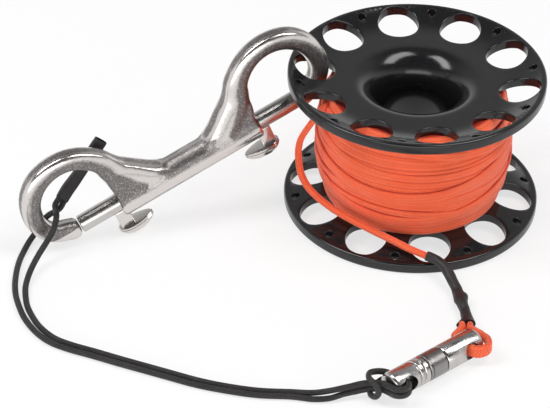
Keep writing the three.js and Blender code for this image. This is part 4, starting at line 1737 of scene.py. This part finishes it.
@dataclass
class Swivel(Axes):
    """Turned barrel swivel, along local X from its turning eye, with Z up from the floor."""

    end: Point = (-8.8, -107.4, 0.0)
    heading: float = 41.4
    radius: float = 4.5
    length: float = 37.0
    hole_radius: float = 2.9
    hole_inset: float = 5.3
    hole_tilt: float = 10.0
    twist: Pair = (-8.6, -0.6)
    end_round: float = 1.3
    round_steps: int = 8
    segments: int = 96
    drill_sides: int = 64
    cord_half: Pair = (1.02, 0.88)
    loop_half: Pair = (1.5, 1.05)
    loop_plies: tuple[tuple[float, float, float, float], ...] = (
        (0.25, 1.15, 1.3, 0.9), (0.35, -1.0, 1.2, 0.85),
    )
    loop_route: tuple[Point, ...] = (
        (43.0, 8.54, 2.57), (41.28, 6.93, 3.02), (40.6, 3.9, 3.9), (40.0, 0.2, 4.9), (39.0, -3.6, 5.3),
        (36.4, -6.1, 5.4), (33.2, -5.1, 5.1), (32.0, -1.0, 4.6), (32.1, 3.0, 4.0), (34.0, 6.4, 3.3),
        (37.2, 7.6, 3.1), (39.58, 8.75, 3.02), (41.3, 10.36, 2.57),
    )
    hitch_route: tuple[Point, ...] = (
        (-8.5, 7.5, 4.6), (-5.6, 6.1, 4.9), (-3.2, 4.4, 5.1), (-1.6, 1.8, 5.6), (-1.3, -1.5, 6.2),
        (-0.8, -4.5, 6.7), (1.4, -5.9, 6.8), (4.0, -4.6, 6.4), (4.6, -0.7, 5.8), (4.6, 3.2, 5.2),
        (3.2, 6.3, 5.1), (0.6, 7.2, 5.9), (-2.0, 7.1, 6.6), (-4.2, 4.9, 7.2), (-4.5, 2.0, 6.8),
        (-4.2, 0.6, 5.6), (-4.2, 0.3, 3.8), (-4.5, 1.2, 2.2), (-4.2, 3.9, 1.2), (-2.0, 5.9, 1.1),
        (0.6, 6.4, 1.6), (3.1, 5.9, 2.4), (4.5, 2.8, 3.0), (4.5, -1.1, 3.7), (4.0, -4.9, 4.4),
        (1.4, -6.1, 4.6), (-0.8, -4.9, 4.5), (-1.3, -1.9, 4.0), (-1.6, 1.4, 3.4), (-3.2, 4.0, 3.0),
        (-5.6, 5.7, 2.7), (-8.5, 7.1, 2.4),
    )

    def __post_init__(self) -> None:
        """Works out the swivel's axes."""
        h = math.radians(self.heading)
        self.x = np.array([math.cos(h), math.sin(h), 0])
        self.y = np.array([-math.sin(h), math.cos(h), 0])
        self.z = UP
        self.foot = np.array(self.end)

    def routed(self, route: Sequence[Sequence[float]]) -> np.ndarray:
        """A route of the swivel's own axes as a fine line.

        Args:
            route: Its points.

        Returns:
            Points from the spool's foot.
        """
        return spline([self.at(p) for p in route], 0.35)

    def barrel(self, name: str, profile: Sequence[Sequence[float]]) -> bpy.types.Object:
        """A turned piece of the swivel.

        Args:
            name: The piece's name.
            profile: (radius, along) from the axis to the axis, or closed.

        Returns:
            The piece.
        """
        parts = MeshParts()
        parts.turned(profile, self.segments, self.at((0, 0, self.radius)), self.x, self.z)
        return parts.build(name, weld=0.002)

    def cross_hole(self, along: float) -> bpy.types.Object:
        """A tool that drills a hole across the swivel.

        Args:
            along: Where, from the turning end.

        Returns:
            The tool.
        """
        tilt = math.radians(self.hole_tilt)
        axis = -self.y * math.cos(tilt) + self.z * math.sin(tilt)
        parts = MeshParts()
        reach = 2 * self.radius
        profile = [(0, -reach), (self.hole_radius, -reach), (self.hole_radius, reach), (0, reach)]
        parts.turned(profile, self.drill_sides, self.at((along, 0, self.radius)), axis, self.x)
        return parts.build("drill", weld=0.002)

    def rounded(self, start: float, direction: float) -> list[Pair]:
        """Profile of a rounded end, from its tip inwards.

        Args:
            start: Where the tip is.
            direction: 1 or -1 along the swivel.

        Returns:
            (radius, along) points.
        """
        points = [(0.0, start)]
        for k in range(self.round_steps + 1):
            a = math.pi / 2 * k / self.round_steps
            radius = self.radius - self.end_round * (1 - math.sin(a))
            points.append((radius, start + direction * self.end_round * (1 - math.cos(a))))
        return points

    def build(self) -> None:
        """Builds the four metal pieces."""
        r = self.radius
        eye = self.rounded(0, 1) + [
            (r, 9.35), (r - 0.12, 9.6), (r - 0.6, 9.75), (r - 0.6, 10.1), (r - 0.12, 10.25), (r, 10.4),
            (r, 10.95), (r - 0.3, 11.05), (r - 0.3, 11.3), (r, 11.4), (r, 11.65), (r - 0.15, 11.8),
            (1.9, 11.8), (1.9, 16.5), (3.1, 16.5), (3.1, 18.3), (0, 18.3),
        ]
        made = self.barrel("swivel_turning_eye", eye)
        carve(made, [self.cross_hole(self.hole_inset)])
        crease(soften(made, 0.35, 42), 50)
        hand_over(made, self.palette.turned, Slot.POLISHED, Body.SWIVEL_EYE, "swivel_eye")
        washer = [
            (2.2, 12.1), (r - 0.35, 12.1), (r, 12.4), (r, 13.7), (r - 0.35, 14.0), (2.2, 14.0),
            (2.2, 12.1),
        ]
        made = crease(self.barrel("swivel_collar", washer), 30)
        hand_over(made, self.palette.turned, Slot.POLISHED, Body.SPOOL, "swivel_washer")
        cap = [
            (2.2, 14.3), (r - 0.3, 14.3), (r, 14.55), (r, 15.0), (r - 0.22, 15.08), (r - 0.22, 15.3),
            (r, 15.38), (r, 20.95), (r - 0.3, 21.4), (3.6, 21.4), (3.6, 16.3), (2.2, 16.3), (2.2, 14.3),
        ]
        made = crease(self.barrel("swivel_cap_shell", cap), 25)
        hand_over(made, self.palette.cap, Slot.POLISHED, Body.SPOOL, "swivel_cap")
        body = [(0, 20.6), (3.3, 20.6), (3.3, 21.7), (r - 0.3, 21.7), (r, 22.1)]
        body += self.rounded(self.length, -1)[::-1]
        made = self.barrel("swivel_barrel", body)
        carve(made, [self.cross_hole(self.length - self.hole_inset)])
        crease(soften(made, 0.35, 42), 50)
        hand_over(made, self.palette.turned, Slot.POLISHED, Body.SPOOL, "swivel_body")

    def build_loop(self) -> bpy.types.Object:
        """Builds the loop of line through the barrel's eye.

        Returns:
            The piece.
        """
        line = self.routed(self.loop_route)
        parts = MeshParts()
        parts.tube(line, carried(line, UP), *self.loop_half, 16, 0.85, round_ends=0.4)
        middle = len(line) // 5
        inner = line[middle:-middle]
        outward = unit(inner - inner.mean(axis=0))
        swell = np.sin(np.linspace(0, math.pi, len(inner)))[:, None]
        side = carried(inner, UP)
        for out, rise, half_width, half_height in self.loop_plies:
            ply = inner + (outward * out + self.z * rise) * swell
            parts.tube(ply, side, half_width, half_height, 16, 0.85, round_ends=1.5)
        made = parts.build("swivel_loop")
        return hand_over(made, self.palette.line, Slot.LINE, Body.SPOOL, "line_loop")

    def build_hitch(self) -> None:
        """Builds the lanyard's hitch through the turning eye."""
        line = self.routed(self.hitch_route)
        parts = MeshParts()
        parts.tube(line, carried(line, UP), *self.cord_half, 16, 0.9)
        made = crease(parts.build("hitch_knot"), 60)
        hand_over(made, self.palette.cord, Slot.CORD, None, "lanyard_hitch")
        still, turning = (row_point(self.at((along, 0, self.radius))) for along in self.twist)
        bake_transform(made)


# Lanyard


@dataclass
class Lanyard(Maker):
    """Two strands of braided cord from the hitch to the snap's lower eye, and their sleeve."""

    diameter: float = 1.9
    flatness: Pair = (1.06, 0.88)
    tuck: float = 0.9
    lies_below: float = 2.0
    rises_above: float = 6.0
    still_until: Point = (-52.0, -106.0, 1.0)
    follows_from: Point = (-116.0, -36.0, 10.0)
    tube_half_width: float = 2.15
    tube_half_height: float = 1.2
    tube_wall: float = 0.93
    tube_depth: float = 1.5
    tube_fullness: float = 0.55
    tube_waves: Pair = (0.1, 0.08)
    back: tuple[Point, ...] = (
        (-20.45, -107.49, 4.57), (-23.3, -108.28, 4.29), (-27.5, -108.4, 3.1), (-32.5, -107.6, 1.5),
        (-38.9, -106.9, 1.0), (-49.8, -106.6, 1.0), (-60.8, -104.6, 1.0), (-68.5, -102.4, 1.0),
        (-76.6, -99.3, 1.0), (-84.8, -96.1, 1.0), (-93.0, -92.9, 1.0), (-101.3, -89.5, 1.0),
        (-109.2, -86.4, 1.0), (-114.4, -83.6, 1.0), (-118.0, -80.2, 1.0), (-120.8, -76.4, 1.0),
        (-123.0, -72.0, 1.0), (-124.7, -67.6, 1.0), (-125.7, -62.8, 1.0), (-126.2, -57.5, 1.4),
        (-125.7, -52.6, 2.0), (-124.7, -48.6, 3.0), (-122.9, -44.4, 4.8), (-120.5, -40.8, 7.4),
        (-118.6, -39.0, 10.4), (-117.7, -37.4, 13.0), (-117.6, -35.0, 14.3), (-118.0, -32.3, 14.2),
        (-118.39, -29.98, 14.71), (-117.25, -28.56, 16.27),
    )
    front: tuple[Point, ...] = (
        (-20.18, -107.79, 2.37), (-23.1, -108.6, 2.09), (-27.0, -109.7, 1.3), (-32.0, -110.1, 1.0),
        (-38.9, -109.2, 1.0), (-49.8, -108.9, 1.0), (-60.8, -106.9, 1.0), (-69.3, -104.6, 1.0),
        (-77.5, -101.5, 1.0), (-85.7, -98.3, 1.0), (-94.0, -95.1, 1.0), (-102.3, -91.7, 1.0),
        (-110.3, -88.6, 1.0), (-116.0, -85.5, 1.0), (-120.0, -81.7, 1.0), (-123.0, -77.5, 1.0),
        (-125.5, -72.8, 1.0), (-127.4, -67.6, 1.0), (-128.9, -62.2, 1.0), (-129.7, -56.8, 1.0),
        (-129.9, -50.0, 1.0), (-129.5, -43.7, 1.0), (-128.4, -37.6, 1.0), (-126.9, -32.6, 1.5),
        (-124.9, -29.8, 3.4), (-122.8, -29.3, 7.4), (-120.5, -29.3, 10.1), (-118.4, -30.0, 12.0),
        (-116.77, -29.82, 13.38), (-115.63, -28.4, 14.94),
    )
    sleeve: tuple[Point, ...] = (
        (-116.3, -28.3, 15.8), (-114.7, -26.3, 18.0), (-112.5, -24.0, 20.4), (-110.0, -21.6, 23.4),
        (-107.1, -19.6, 27.8), (-103.8, -17.9, 32.8),
    )

    def strand(self, name: str, node: str, route: Sequence[Sequence[float]]) -> None:
        """Builds a strand from the hitch to the snap.

        Args:
            name: The strand's name.
            node: The CAD node that it stands for.
            route: Its points.
        """
        line = spline(route, 0.55)
        ahead = tangents(line)
        line = np.vstack([line[0] - ahead[0] * self.tuck, line, line[-1] + ahead[-1] * self.tuck])
        side = unit(np.cross(tangents(line), UP))
        flat = (self.rises_above - line[:, 2]) / (self.rises_above - self.lies_below)
        flat = np.clip(flat, 0, 1)[:, None]
        blend = unit(side * flat + carried(line, side[0]) * (1 - flat))
        half_width, half_height = (self.diameter / 2 * share for share in self.flatness)
        parts = MeshParts()
        parts.tube(line, blend, half_width, half_height, 14, 0.85)
        made = crease(parts.build(name), 60)
        hand_over(made, self.palette.cord, Slot.CORD, None, node)
        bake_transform(made)

    def build_sleeve(self) -> None:
        """Builds the flat sleeve that closes the lanyard."""
        line = spline(self.sleeve, 0.4)
        side = carried(line, (-1, 0, 1))
        up = np.cross(tangents(line), side)
        share = np.linspace(0, 1, len(line))
        turn = around(SLEEVE_SIDES)
        c, s = (powered(wave(turn), self.tube_fullness) for wave in (np.cos, np.sin))
        w = self.tube_half_width + self.tube_waves[0] * np.sin(share * 9)
        h = self.tube_half_height + self.tube_waves[1] * np.sin(share * 7 + 1)
        rings = oval_rings(line, side, up, w[:, None] * c, h[:, None] * s)
        inside = (self.tube_wall, self.tube_wall), (self.tube_depth, self.tube_depth)
        rings, along = with_lips(line, rings, share * lengths(line)[-1], *inside)
        parts = MeshParts()
        parts.grid(rings, strand_place(along, turn))
        made = crease(parts.build("lanyard_tube"), 50)
        hand_over(made, self.palette.shrink, Slot.SHRINK, Body.SNAP, "lanyard_sleeve")


# Bolt snap


@dataclass
class Snap(Axes):
    """Double-ended bolt snap: local X along its barrel, Z to the side of both hooks, Y to the back."""

    origin: Point = (-75.2272, -13.974, 22.4055)
    heading: float = 24.2
    climb: float = 22.0637
    lean: float = 3.7
    barrel_radius: float = 5.2
    mouth: float = 26.8
    eye_along: float = 39.2
    eye_up: float = 10.4
    eye_radius: float = 11.5
    limb: float = 3.4
    web: float = 5.4
    tip: float = 41.8
    tip_round: float = 1.4
    bolt_radius: float = 3.1
    bolt_length: float = 26.4
    bolt_clear: float = 0.3
    travel: float = 8.0
    bore_end: float = 1.0
    spring_wire: float = 0.35
    spring_radius: float = 2.5
    spring_curls: int = 7
    curl_steps: int = 32
    closed_ends: float = 0.6
    slot_width: float = 3.6
    stem_along: float = 27.3
    stem_length: float = 5.0
    stem_width: float = 2.8
    stem_round: float = 0.55
    stem_sunk: float = 0.1
    stem_sunk_in_bolt: float = 0.25
    plate_along: float = 24.4
    plate_length: float = 13.0
    plate_width: float = 8.0
    plate_top: float = 9.4
    plate_edge: float = 0.9
    plate_dome: float = 3.2
    fullness: float = 0.68
    ridge: float = 0.035
    ridge_at: float = 38.0
    ridge_spread: float = 9.0
    limb_steps: int = 110
    limb_sides: int = 40
    knob_sides: int = 56
    voxel: float = 0.3
    join_reach: float = 15.0
    join_at: float = -2.0
    join_fade: float = 5.0
    join_low: float = -1.0
    join_low_fade: float = 2.5
    join_high: float = 13.0
    join_grades: int = 10
    join_steps: int = 70
    tumble_steps: int = 8
    join_band: Pair = (0.8, 1.25)
    # Angles round the barrel of its band of painted shade.
    barrel_shade_band: tuple[float, float, float, float] = (4.0, 22.0, 78.0, 94.0)
    # Painted shade along the barrel's low edge, where the floor under it is in shadow: its angles and
    # its share.
    low_shade_band: Pair = (-42.0, -24.0)
    low_shade_share: float = 0.7
    foot_taper: float = 0.75
    foot_behind_mouth: Pair = (14.0, 9.0)
    eye_skin: Pair = (0.9, 1.9)
    web_line: Pair = (18.2, 6.8)
    web_normal: Pair = (0.79, 0.61)
    web_fade: Pair = (-1.8, 1.4)
    web_top: float = 9.0
    web_top_fade: float = 7.0
    web_end: float = 4.0
    flat_skin: Pair = (0.45, 0.7)
    # Painted shade along the casting's outline: where it fades in, and its share.
    outline_shade_turn: Pair = (0.06, 0.3)
    outline_shade_share: float = 0.75

    def __post_init__(self) -> None:
        """Works out the snap's axes."""
        t, p, q = math.radians(self.heading), math.radians(self.climb), math.radians(self.lean)
        self.x = np.array([math.cos(p) * math.cos(t), math.cos(p) * math.sin(t), math.sin(p)])
        level = np.array([-math.sin(t), math.cos(t), 0])
        upright = np.array([-math.sin(p) * math.cos(t), -math.sin(p) * math.sin(t), math.cos(p)])
        self.z = upright * math.cos(q) + level * math.sin(q)
        self.y = np.cross(self.z, self.x)
        self.foot = np.array(self.origin)

    def measured(self, piece: bpy.types.Object) -> tuple[np.ndarray, np.ndarray]:
        """A piece's vertices in the snap's own axes.

        Args:
            piece: The piece.

        Returns:
            Their places in millimetres, and their normals.
        """
        found = []
        for what in ("co", "normal"):
            flat = np.empty(len(piece.data.vertices) * 3)
            piece.data.vertices.foreach_get(what, flat)
            found.append(flat.reshape(-1, 3))
        axes = np.column_stack([self.x, self.y, self.z])
        return (found[0] / MM - AXIS - self.foot) @ axes, found[1] @ axes

    def faced(self, profile: list[Pair], direction: int) -> list[Pair]:
        """A profile along the barrel for one end of it.

        Args:
            profile: (radius, along) for the upper end.
            direction: 1 for the upper end, -1 for the lower.

        Returns:
            The profile, still in the order that turns its faces outwards.
        """
        return list(profile) if direction > 0 else [(q, -z) for q, z in reversed(profile)]

    def stations(self) -> np.ndarray:
        """Stations of the upper limb.

        Returns:
            Rows of place along, place up, half width in the plane and half thickness.
        """
        ring = self.eye_radius + self.limb
        m, w, b = self.limb, self.web, self.barrel_radius
        crotch = self.mouth - b

        def eye(degrees: float, radius: float, width: float, depth: float) -> tuple[float, ...]:
            """A station given round the eye."""
            a = math.radians(degrees)
            along, up = self.eye_along + radius * math.cos(a), self.eye_up + radius * math.sin(a)
            return along, up, m * width, m * depth

        return np.array(
            [
                (crotch - 2.6 * b, 0, b * 0.88, b * 0.9),
                (crotch - 1.55 * b, b * 0.62, b * 0.96, b * 0.9),
                (crotch - 0.65 * b, b * 1.3, w, b * 0.88),
                (crotch + 0.14 * b, b * 2.08, w * 0.96, b * 0.85),
                eye(163, ring + m * 0.15, 1.28, 1.16),
                eye(150, ring + m * 0.15, 1.14, 1.08),
                eye(135, ring + m * 0.08, 1.04, 1.03),
                eye(120, ring + m * 0.08, 1.0, 1.0),
                eye(105, ring + m * 0.12, 0.97, 1.0),
                eye(90, ring + m * 0.15, 0.97, 1.0),
                eye(75, ring + m * 0.18, 1.0, 1.0),
                eye(60, ring + m * 0.2, 1.04, 1.0),
                eye(45, ring + m * 0.17, 1.04, 1.0),
                eye(30, ring + m * 0.1, 1.02, 1.0),
                eye(15, ring, 1.0, 1.0),
                eye(0, ring - m * 0.05, 0.98, 1.0),
                eye(-15, ring - m * 0.16, 0.95, 0.98),
                eye(-30, ring - m * 0.38, 0.93, 0.97),
                eye(-43, ring - m * 0.68, 0.93, 0.96),
                eye(-55, ring - m * 0.95, 0.95, 0.95),
                (self.tip + self.tip_round * 2.4, m * 0.12, m * 0.96, m * 0.94),
                (self.tip + self.tip_round, 0, m * 0.92, m * 0.9),
                (self.tip + self.tip_round * 0.3, 0, m * 0.78, m * 0.78),
                (self.tip, 0, m * 0.55, m * 0.55),
            ]
        )

    def limb_mesh(self, direction: int) -> bpy.types.Object:
        """One hook's limb, from deep in the barrel to its tip.

        Args:
            direction: 1 for the upper hook, -1 for the lower.

        Returns:
            The limb.
        """
        table = self.stations()
        along = lengths(table[:, :2])
        fine = np.linspace(0, along[-1], self.limb_steps)
        smooth = []
        for k in range(4):
            padded = spline(np.column_stack([along, table[:, k], np.zeros(len(along))]), 0.05)
            smooth.append(np.interp(fine, padded[:, 0], padded[:, 1]))
        a, b, w, d = smooth
        line = np.column_stack([a, b])
        ahead = unit(np.gradient(line, axis=0))
        outward = np.column_stack([-ahead[:, 1], ahead[:, 0]])
        turn = around(self.limb_sides)
        c, s = (powered(wave(turn), self.fullness) for wave in (np.cos, np.sin))
        off_edge = np.abs(np.degrees(np.arctan2(np.sin(turn), np.cos(turn)))) - self.ridge_at
        shoulder = 1 + self.ridge * np.exp(-((off_edge / self.ridge_spread) ** 2))
        rings = np.zeros((self.limb_steps, self.limb_sides, 3))
        for i in range(self.limb_steps):
            plane = line[i][None, :] + outward[i][None, :] * (w[i] * c * shoulder)[:, None]
            depth = d[i] * s * shoulder
            local = np.column_stack([direction * plane[:, 0], depth, plane[:, 1]])
            rings[i] = self.placed(local)
        parts = MeshParts()
        parts.grid(rings)
        return parts.build(f"limb_{direction}", weld=0.001)

    def rod(self, name: str, profile: Sequence[Sequence[float]], segments: int) -> bpy.types.Object:
        """A turned piece along the barrel.

        Args:
            name: Its name.
            profile: (radius, along).
            segments: Points round it.

        Returns:
            The piece.
        """
        parts = MeshParts()
        parts.turned(profile, segments, self.foot, self.x, self.y)
        return parts.build(name, weld=0.001)

    def slab(
        self, direction: int, along: Sequence[float], half_width: float, up: Sequence[float]
    ) -> bpy.types.Object:
        """A box in the middle plane of one end of the snap.

        Args:
            direction: 1 for the upper end, -1 for the lower.
            along: Where it starts and ends along that end of the barrel.
            half_width: Half its width.
            up: Its lowest and highest height.

        Returns:
            The box.
        """
        a, b = sorted(direction * place for place in along)
        outline = ((a, -half_width), (b, -half_width), (b, half_width), (a, half_width))
        parts = MeshParts()
        parts.grid(np.array([[self.at((x, y, z)) for x, y in outline] for z in up]))
        return parts.build("slab", weld=0.001)

    def gusset(self, direction: int) -> bpy.types.Object:
        """Fills the corner between a limb and its mouth, up to the eye's edge.

        Args:
            direction: 1 for the upper hook, -1 for the lower.

        Returns:
            The filling.
        """
        r, m = self.barrel_radius, self.mouth
        left = self.eye_along - self.eye_radius
        outline = [
            (m - 9.0, 0.0, 0.86), (m - 0.4, 0.0, 0.86), (m - 0.3, r, 0.86),
            (left - 0.45, r + 2.6, 0.84), (left - 0.15, r + 5.0, 0.74), (left - 0.4, r + 7.0, 0.5),
            (left - 3.5, r + 8.0, 0.6), (m - 7.0, r + 4.0, 0.8),
        ]
        rings = []
        for depth, inset in ((-1.0, 0.7), (-0.84, 0.0), (0.84, 0.0), (1.0, 0.7)):
            corners = [(direction * (a - inset), depth * share * r, b) for a, b, share in outline]
            rings.append([self.at(corner) for corner in corners])
        parts = MeshParts()
        parts.grid(np.array(rings))
        return parts.build(f"gusset_{direction}", weld=0.001)

    def build_casting(self) -> None:
        """Builds the cast body with its bores and slots."""
        r, m = self.barrel_radius, self.mouth
        end = [(r, m - 0.9), (r - 0.25, m - 0.25), (r - 0.9, m), (0, m)]
        body = self.rod("snap_casting", self.faced(end, -1) + end, 72)
        grown = [make(direction) for make in (self.limb_mesh, self.gusset) for direction in (1, -1)]
        carve(body, grown, "UNION")
        remesh = body.modifiers.new("skin", "REMESH")
        remesh.mode, remesh.voxel_size, remesh.adaptivity = "VOXEL", self.voxel * MM, 0.0
        applied(body)
        self.blend_joins(body)
        self.note_shade_and_roughness(body)
        near, far = self.bore_end, m + 3.0
        clear = self.bolt_radius + self.bolt_clear
        bore = [(0, near), (clear, near), (clear, far), (0, far)]
        slot = self.stem_along - self.stem_length / 2 - self.travel - self.bolt_clear
        tools = []
        for direction in (1, -1):
            tools.append(self.rod("bore", self.faced(bore, direction), 48))
            tools.append(self.slab(direction, (slot, far), self.slot_width / 2, (-r - 3, 0)))
        carve(body, tools)
        crease(body, 42)
        hand_over(body, self.palette.cast, Slot.CAST, Body.SNAP, "snap_body")

    def note_shade_and_roughness(self, body: bpy.types.Object) -> None:
        """Writes how far each point of the casting is painted dark and left rough, for its material.

        The outside of the hooks and the barrel's free side stay bright. Painted shade, standing for
        dark reflections, goes with a grainy skin along a band of the barrel on the hooks' side, on each
        hook towards its eye, along the outline and along the barrel's low edge.

        Args:
            body: The casting.
        """
        local, normal = self.measured(body)
        sideways = np.abs(normal[:, 1])
        side = np.degrees(np.arctan2(normal[:, 2], sideways))
        out, up, r = np.abs(local[:, 0]), local[:, 2], self.barrel_radius
        least, most = self.join_band
        on_barrel = 1 - eased(up, r * least, r * most)
        # Band of painted shade along the barrel.
        band = eased(side, *self.barrel_shade_band[:2]) * (1 - eased(side, *self.barrel_shade_band[2:]))
        # Painted shade along the barrel's low edge.
        low_shade = on_barrel * (1 - eased(side, *self.low_shade_band)) * self.low_shade_share
        foot_from, foot_to = (self.mouth - back for back in self.foot_behind_mouth)
        foot = r * (1 - self.foot_taper * eased(out, foot_from, foot_to))
        off_barrel = eased(up, foot * least, foot * most)
        beyond = (np.hypot(out - self.eye_along, up - self.eye_up) - self.eye_radius) / self.limb
        (web_out, web_up), (slope_out, slope_up) = self.web_line, self.web_normal
        past_limb = (out - web_out) * slope_out - (up - web_up) * slope_up
        under_top = eased(self.eye_up + self.web_top - up, 0, self.web_top_fade)
        web = eased(past_limb, *self.web_fade) * under_top * (out < self.eye_along - self.web_end)
        flat = eased(sideways, *self.flat_skin)
        # Painted shade on the flat sides of each hook towards its eye and on its web.
        inner = flat * np.maximum(1 - eased(beyond, *self.eye_skin), web)
        # Painted shade along the outline of the hooks.
        outline_shade = (1 - on_barrel) * (1 - eased(sideways, *self.outline_shade_turn)) * self.outline_shade_share
        # How far each point is painted dark and left rough.
        rough_and_shade = np.max([on_barrel * band, off_barrel * inner, outline_shade, low_shade], axis=0)
        note = np.zeros((len(rough_and_shade), 3), np.float32)
        note[:, 0] = rough_and_shade
        found = body.data.attributes.get("strand")
        if found is None:
            found = body.data.attributes.new("strand", "FLOAT_VECTOR", "POINT")
        found.data.foreach_set("vector", note.ravel())

    def blend_joins(self, body: bpy.types.Object) -> None:
        """Smooths the casting: a little all over, and much where the limbs leave the barrel.

        Args:
            body: The casting.
        """
        local, _ = self.measured(body)
        crotch = self.mouth - self.barrel_radius
        near = np.zeros(len(local))
        for direction in (1, -1):
            along = direction * local[:, 0] - crotch
            middle = np.clip((self.join_reach - np.abs(along - self.join_at)) / self.join_fade, 0, 1)
            above = np.clip((local[:, 2] - self.join_low) / self.join_low_fade, 0, 1)
            below = np.clip((self.join_high - local[:, 2]) / self.join_fade, 0, 1)
            near = np.maximum(near, middle * above * below)
        group = body.vertex_groups.new(name="joins")
        grades = self.join_grades
        for grade in range(1, grades + 1):
            chosen = np.nonzero(np.round(near * grades).astype(int) == grade)[0]
            if len(chosen):
                group.add(chosen.tolist(), grade / grades, "REPLACE")
        blend = body.modifiers.new("blend", "SMOOTH")
        blend.factor, blend.iterations, blend.vertex_group = 0.5, self.join_steps, "joins"
        tumble = body.modifiers.new("tumble", "SMOOTH")
        tumble.factor, tumble.iterations = 0.5, self.tumble_steps
        applied(body)

    def build_bolt(self, name: str, direction: int, body: Body) -> None:
        """Builds one bolt and its thumb knob.

        Args:
            name: upper or lower.
            direction: 1 for the upper end, -1 for the lower.
            body: The body both ride on.
        """
        tip = self.tip - self.bolt_clear
        end = tip - self.bolt_length
        r = self.bolt_radius
        profile = [
            (0, end), (r - 0.5, end), (r, end + 0.5), (r, tip - 0.55), (r - 0.12, tip - 0.22),
            (r - 0.5, tip - 0.02), (r - 0.8, tip), (0, tip),
        ]
        bolt = crease(self.rod(f"sliding_bolt_{name}", self.faced(profile, direction), 72), 30)
        hand_over(bolt, self.palette.turned, Slot.POLISHED, body, f"bolt_{name}")
        knob = self.knob(name, direction)
        hand_over(knob, self.palette.cast, Slot.CAST, body, f"thumb_knob_{name}")

    def build_spring(self, name: str, direction: int) -> None:
        """Builds the spring behind a bolt.

        Args:
            name: upper or lower.
            direction: 1 for the upper end, -1 for the lower.
        """
        low = self.bore_end + self.bolt_clear
        high = self.tip - self.bolt_length - 2 * self.bolt_clear
        share = np.linspace(0, 1, self.spring_curls * self.curl_steps + 1)
        closing = np.sin(share * TAU) / TAU * self.closed_ends
        along = low + self.spring_wire + (high - low - 2 * self.spring_wire) * (share - closing)
        turn, r = TAU * self.spring_curls * share, self.spring_radius
        places = zip(direction * along, r * np.cos(turn), r * np.sin(turn))
        line = np.array([self.at(place) for place in places])
        parts = MeshParts()
        along_barrel = np.broadcast_to(self.x, line.shape)
        parts.tube(line, along_barrel, self.spring_wire, self.spring_wire, 12)
        coil = crease(parts.build(f"coil_spring_{name}"), 60)
        hand_over(coil, self.palette.spring, Slot.SPRING, Body.SNAP, f"spring_{name}")
        anchor = row_point(self.at((direction * low, 0, 0)))
        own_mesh(coil)

    def knob(self, name: str, direction: int) -> bpy.types.Object:
        """The thumb knob: a domed teardrop plate on a flat stem.

        Args:
            name: upper or lower.
            direction: 1 for the upper end, -1 for the lower.

        Returns:
            The piece.
        """
        turn = around(self.knob_sides)
        top, dome = -self.plate_top, self.plate_dome
        rim = top - self.plate_edge
        levels = [
            (0.0, top + 0.02), (0.86, top), (0.95, top - 0.06), (0.985, top - 0.22),
            (0.985, top - 0.62), (0.955, rim + 0.16), (0.955, rim + 0.02), (0.99, rim - 0.12),
            (0.985, rim - dome * 0.14),
            (0.94, rim - dome * 0.32), (0.84, rim - dome * 0.55), (0.68, rim - dome * 0.77),
            (0.46, rim - dome * 0.92), (0.22, rim - dome * 0.985), (0.0, rim - dome),
        ]
        broad = 0.8 + 0.2 * np.cos(turn)
        rings = []
        for scale, z in levels:
            a = self.plate_along + scale * self.plate_length / 2 * np.cos(turn)
            y = scale * broad * self.plate_width / 2 * np.sin(turn)
            local = np.column_stack([direction * a, direction * y, np.full(len(turn), z)])
            rings.append(self.placed(local))
        parts = MeshParts()
        parts.grid(np.array(rings), caps=False)
        plate = parts.build(f"thumb_plate_{name}", weld=0.002)
        half = self.stem_length / 2
        along = self.stem_along - half, self.stem_along + half
        up = rim + self.stem_sunk, self.stem_sunk_in_bolt - self.bolt_radius
        stem = soften(self.slab(direction, along, self.stem_width / 2, up), self.stem_round, 30, 3)
        carve(plate, [stem], "UNION")
        return crease(plate, 32)

    def build(self) -> None:
        """Builds the snap."""
        self.build_casting()
        self.build_bolt("upper", 1, Body.BOLT_UPPER)
        self.build_bolt("lower", -1, Body.BOLT_LOWER)
        self.build_spring("upper", 1)
        self.build_spring("lower", -1)


def main() -> None:
    """Builds the whole scene in order."""
    logging.basicConfig(level=logging.INFO, format="%(name)s: %(message)s")
    palette = Palette()
    Studio(palette).build()
    line = FreeLine(palette)
    tail = line.build_tail()
    sleeve = line.build_sleeve()
    swivel = Swivel(palette)
    loop = swivel.build_loop()
    line.tail_line()
    lanyard = Lanyard(palette)
    lanyard.strand("lanyard_back", "lanyard_strand_back", lanyard.back)
    lanyard.strand("lanyard_front", "lanyard_strand_front", lanyard.front)
    lanyard.build_sleeve()
    swivel.build_hitch()
    swivel.build()
    Spool(palette).build()
    Winding(palette).build()
    Snap(palette).build()


if __name__ == "__main__":
    main()
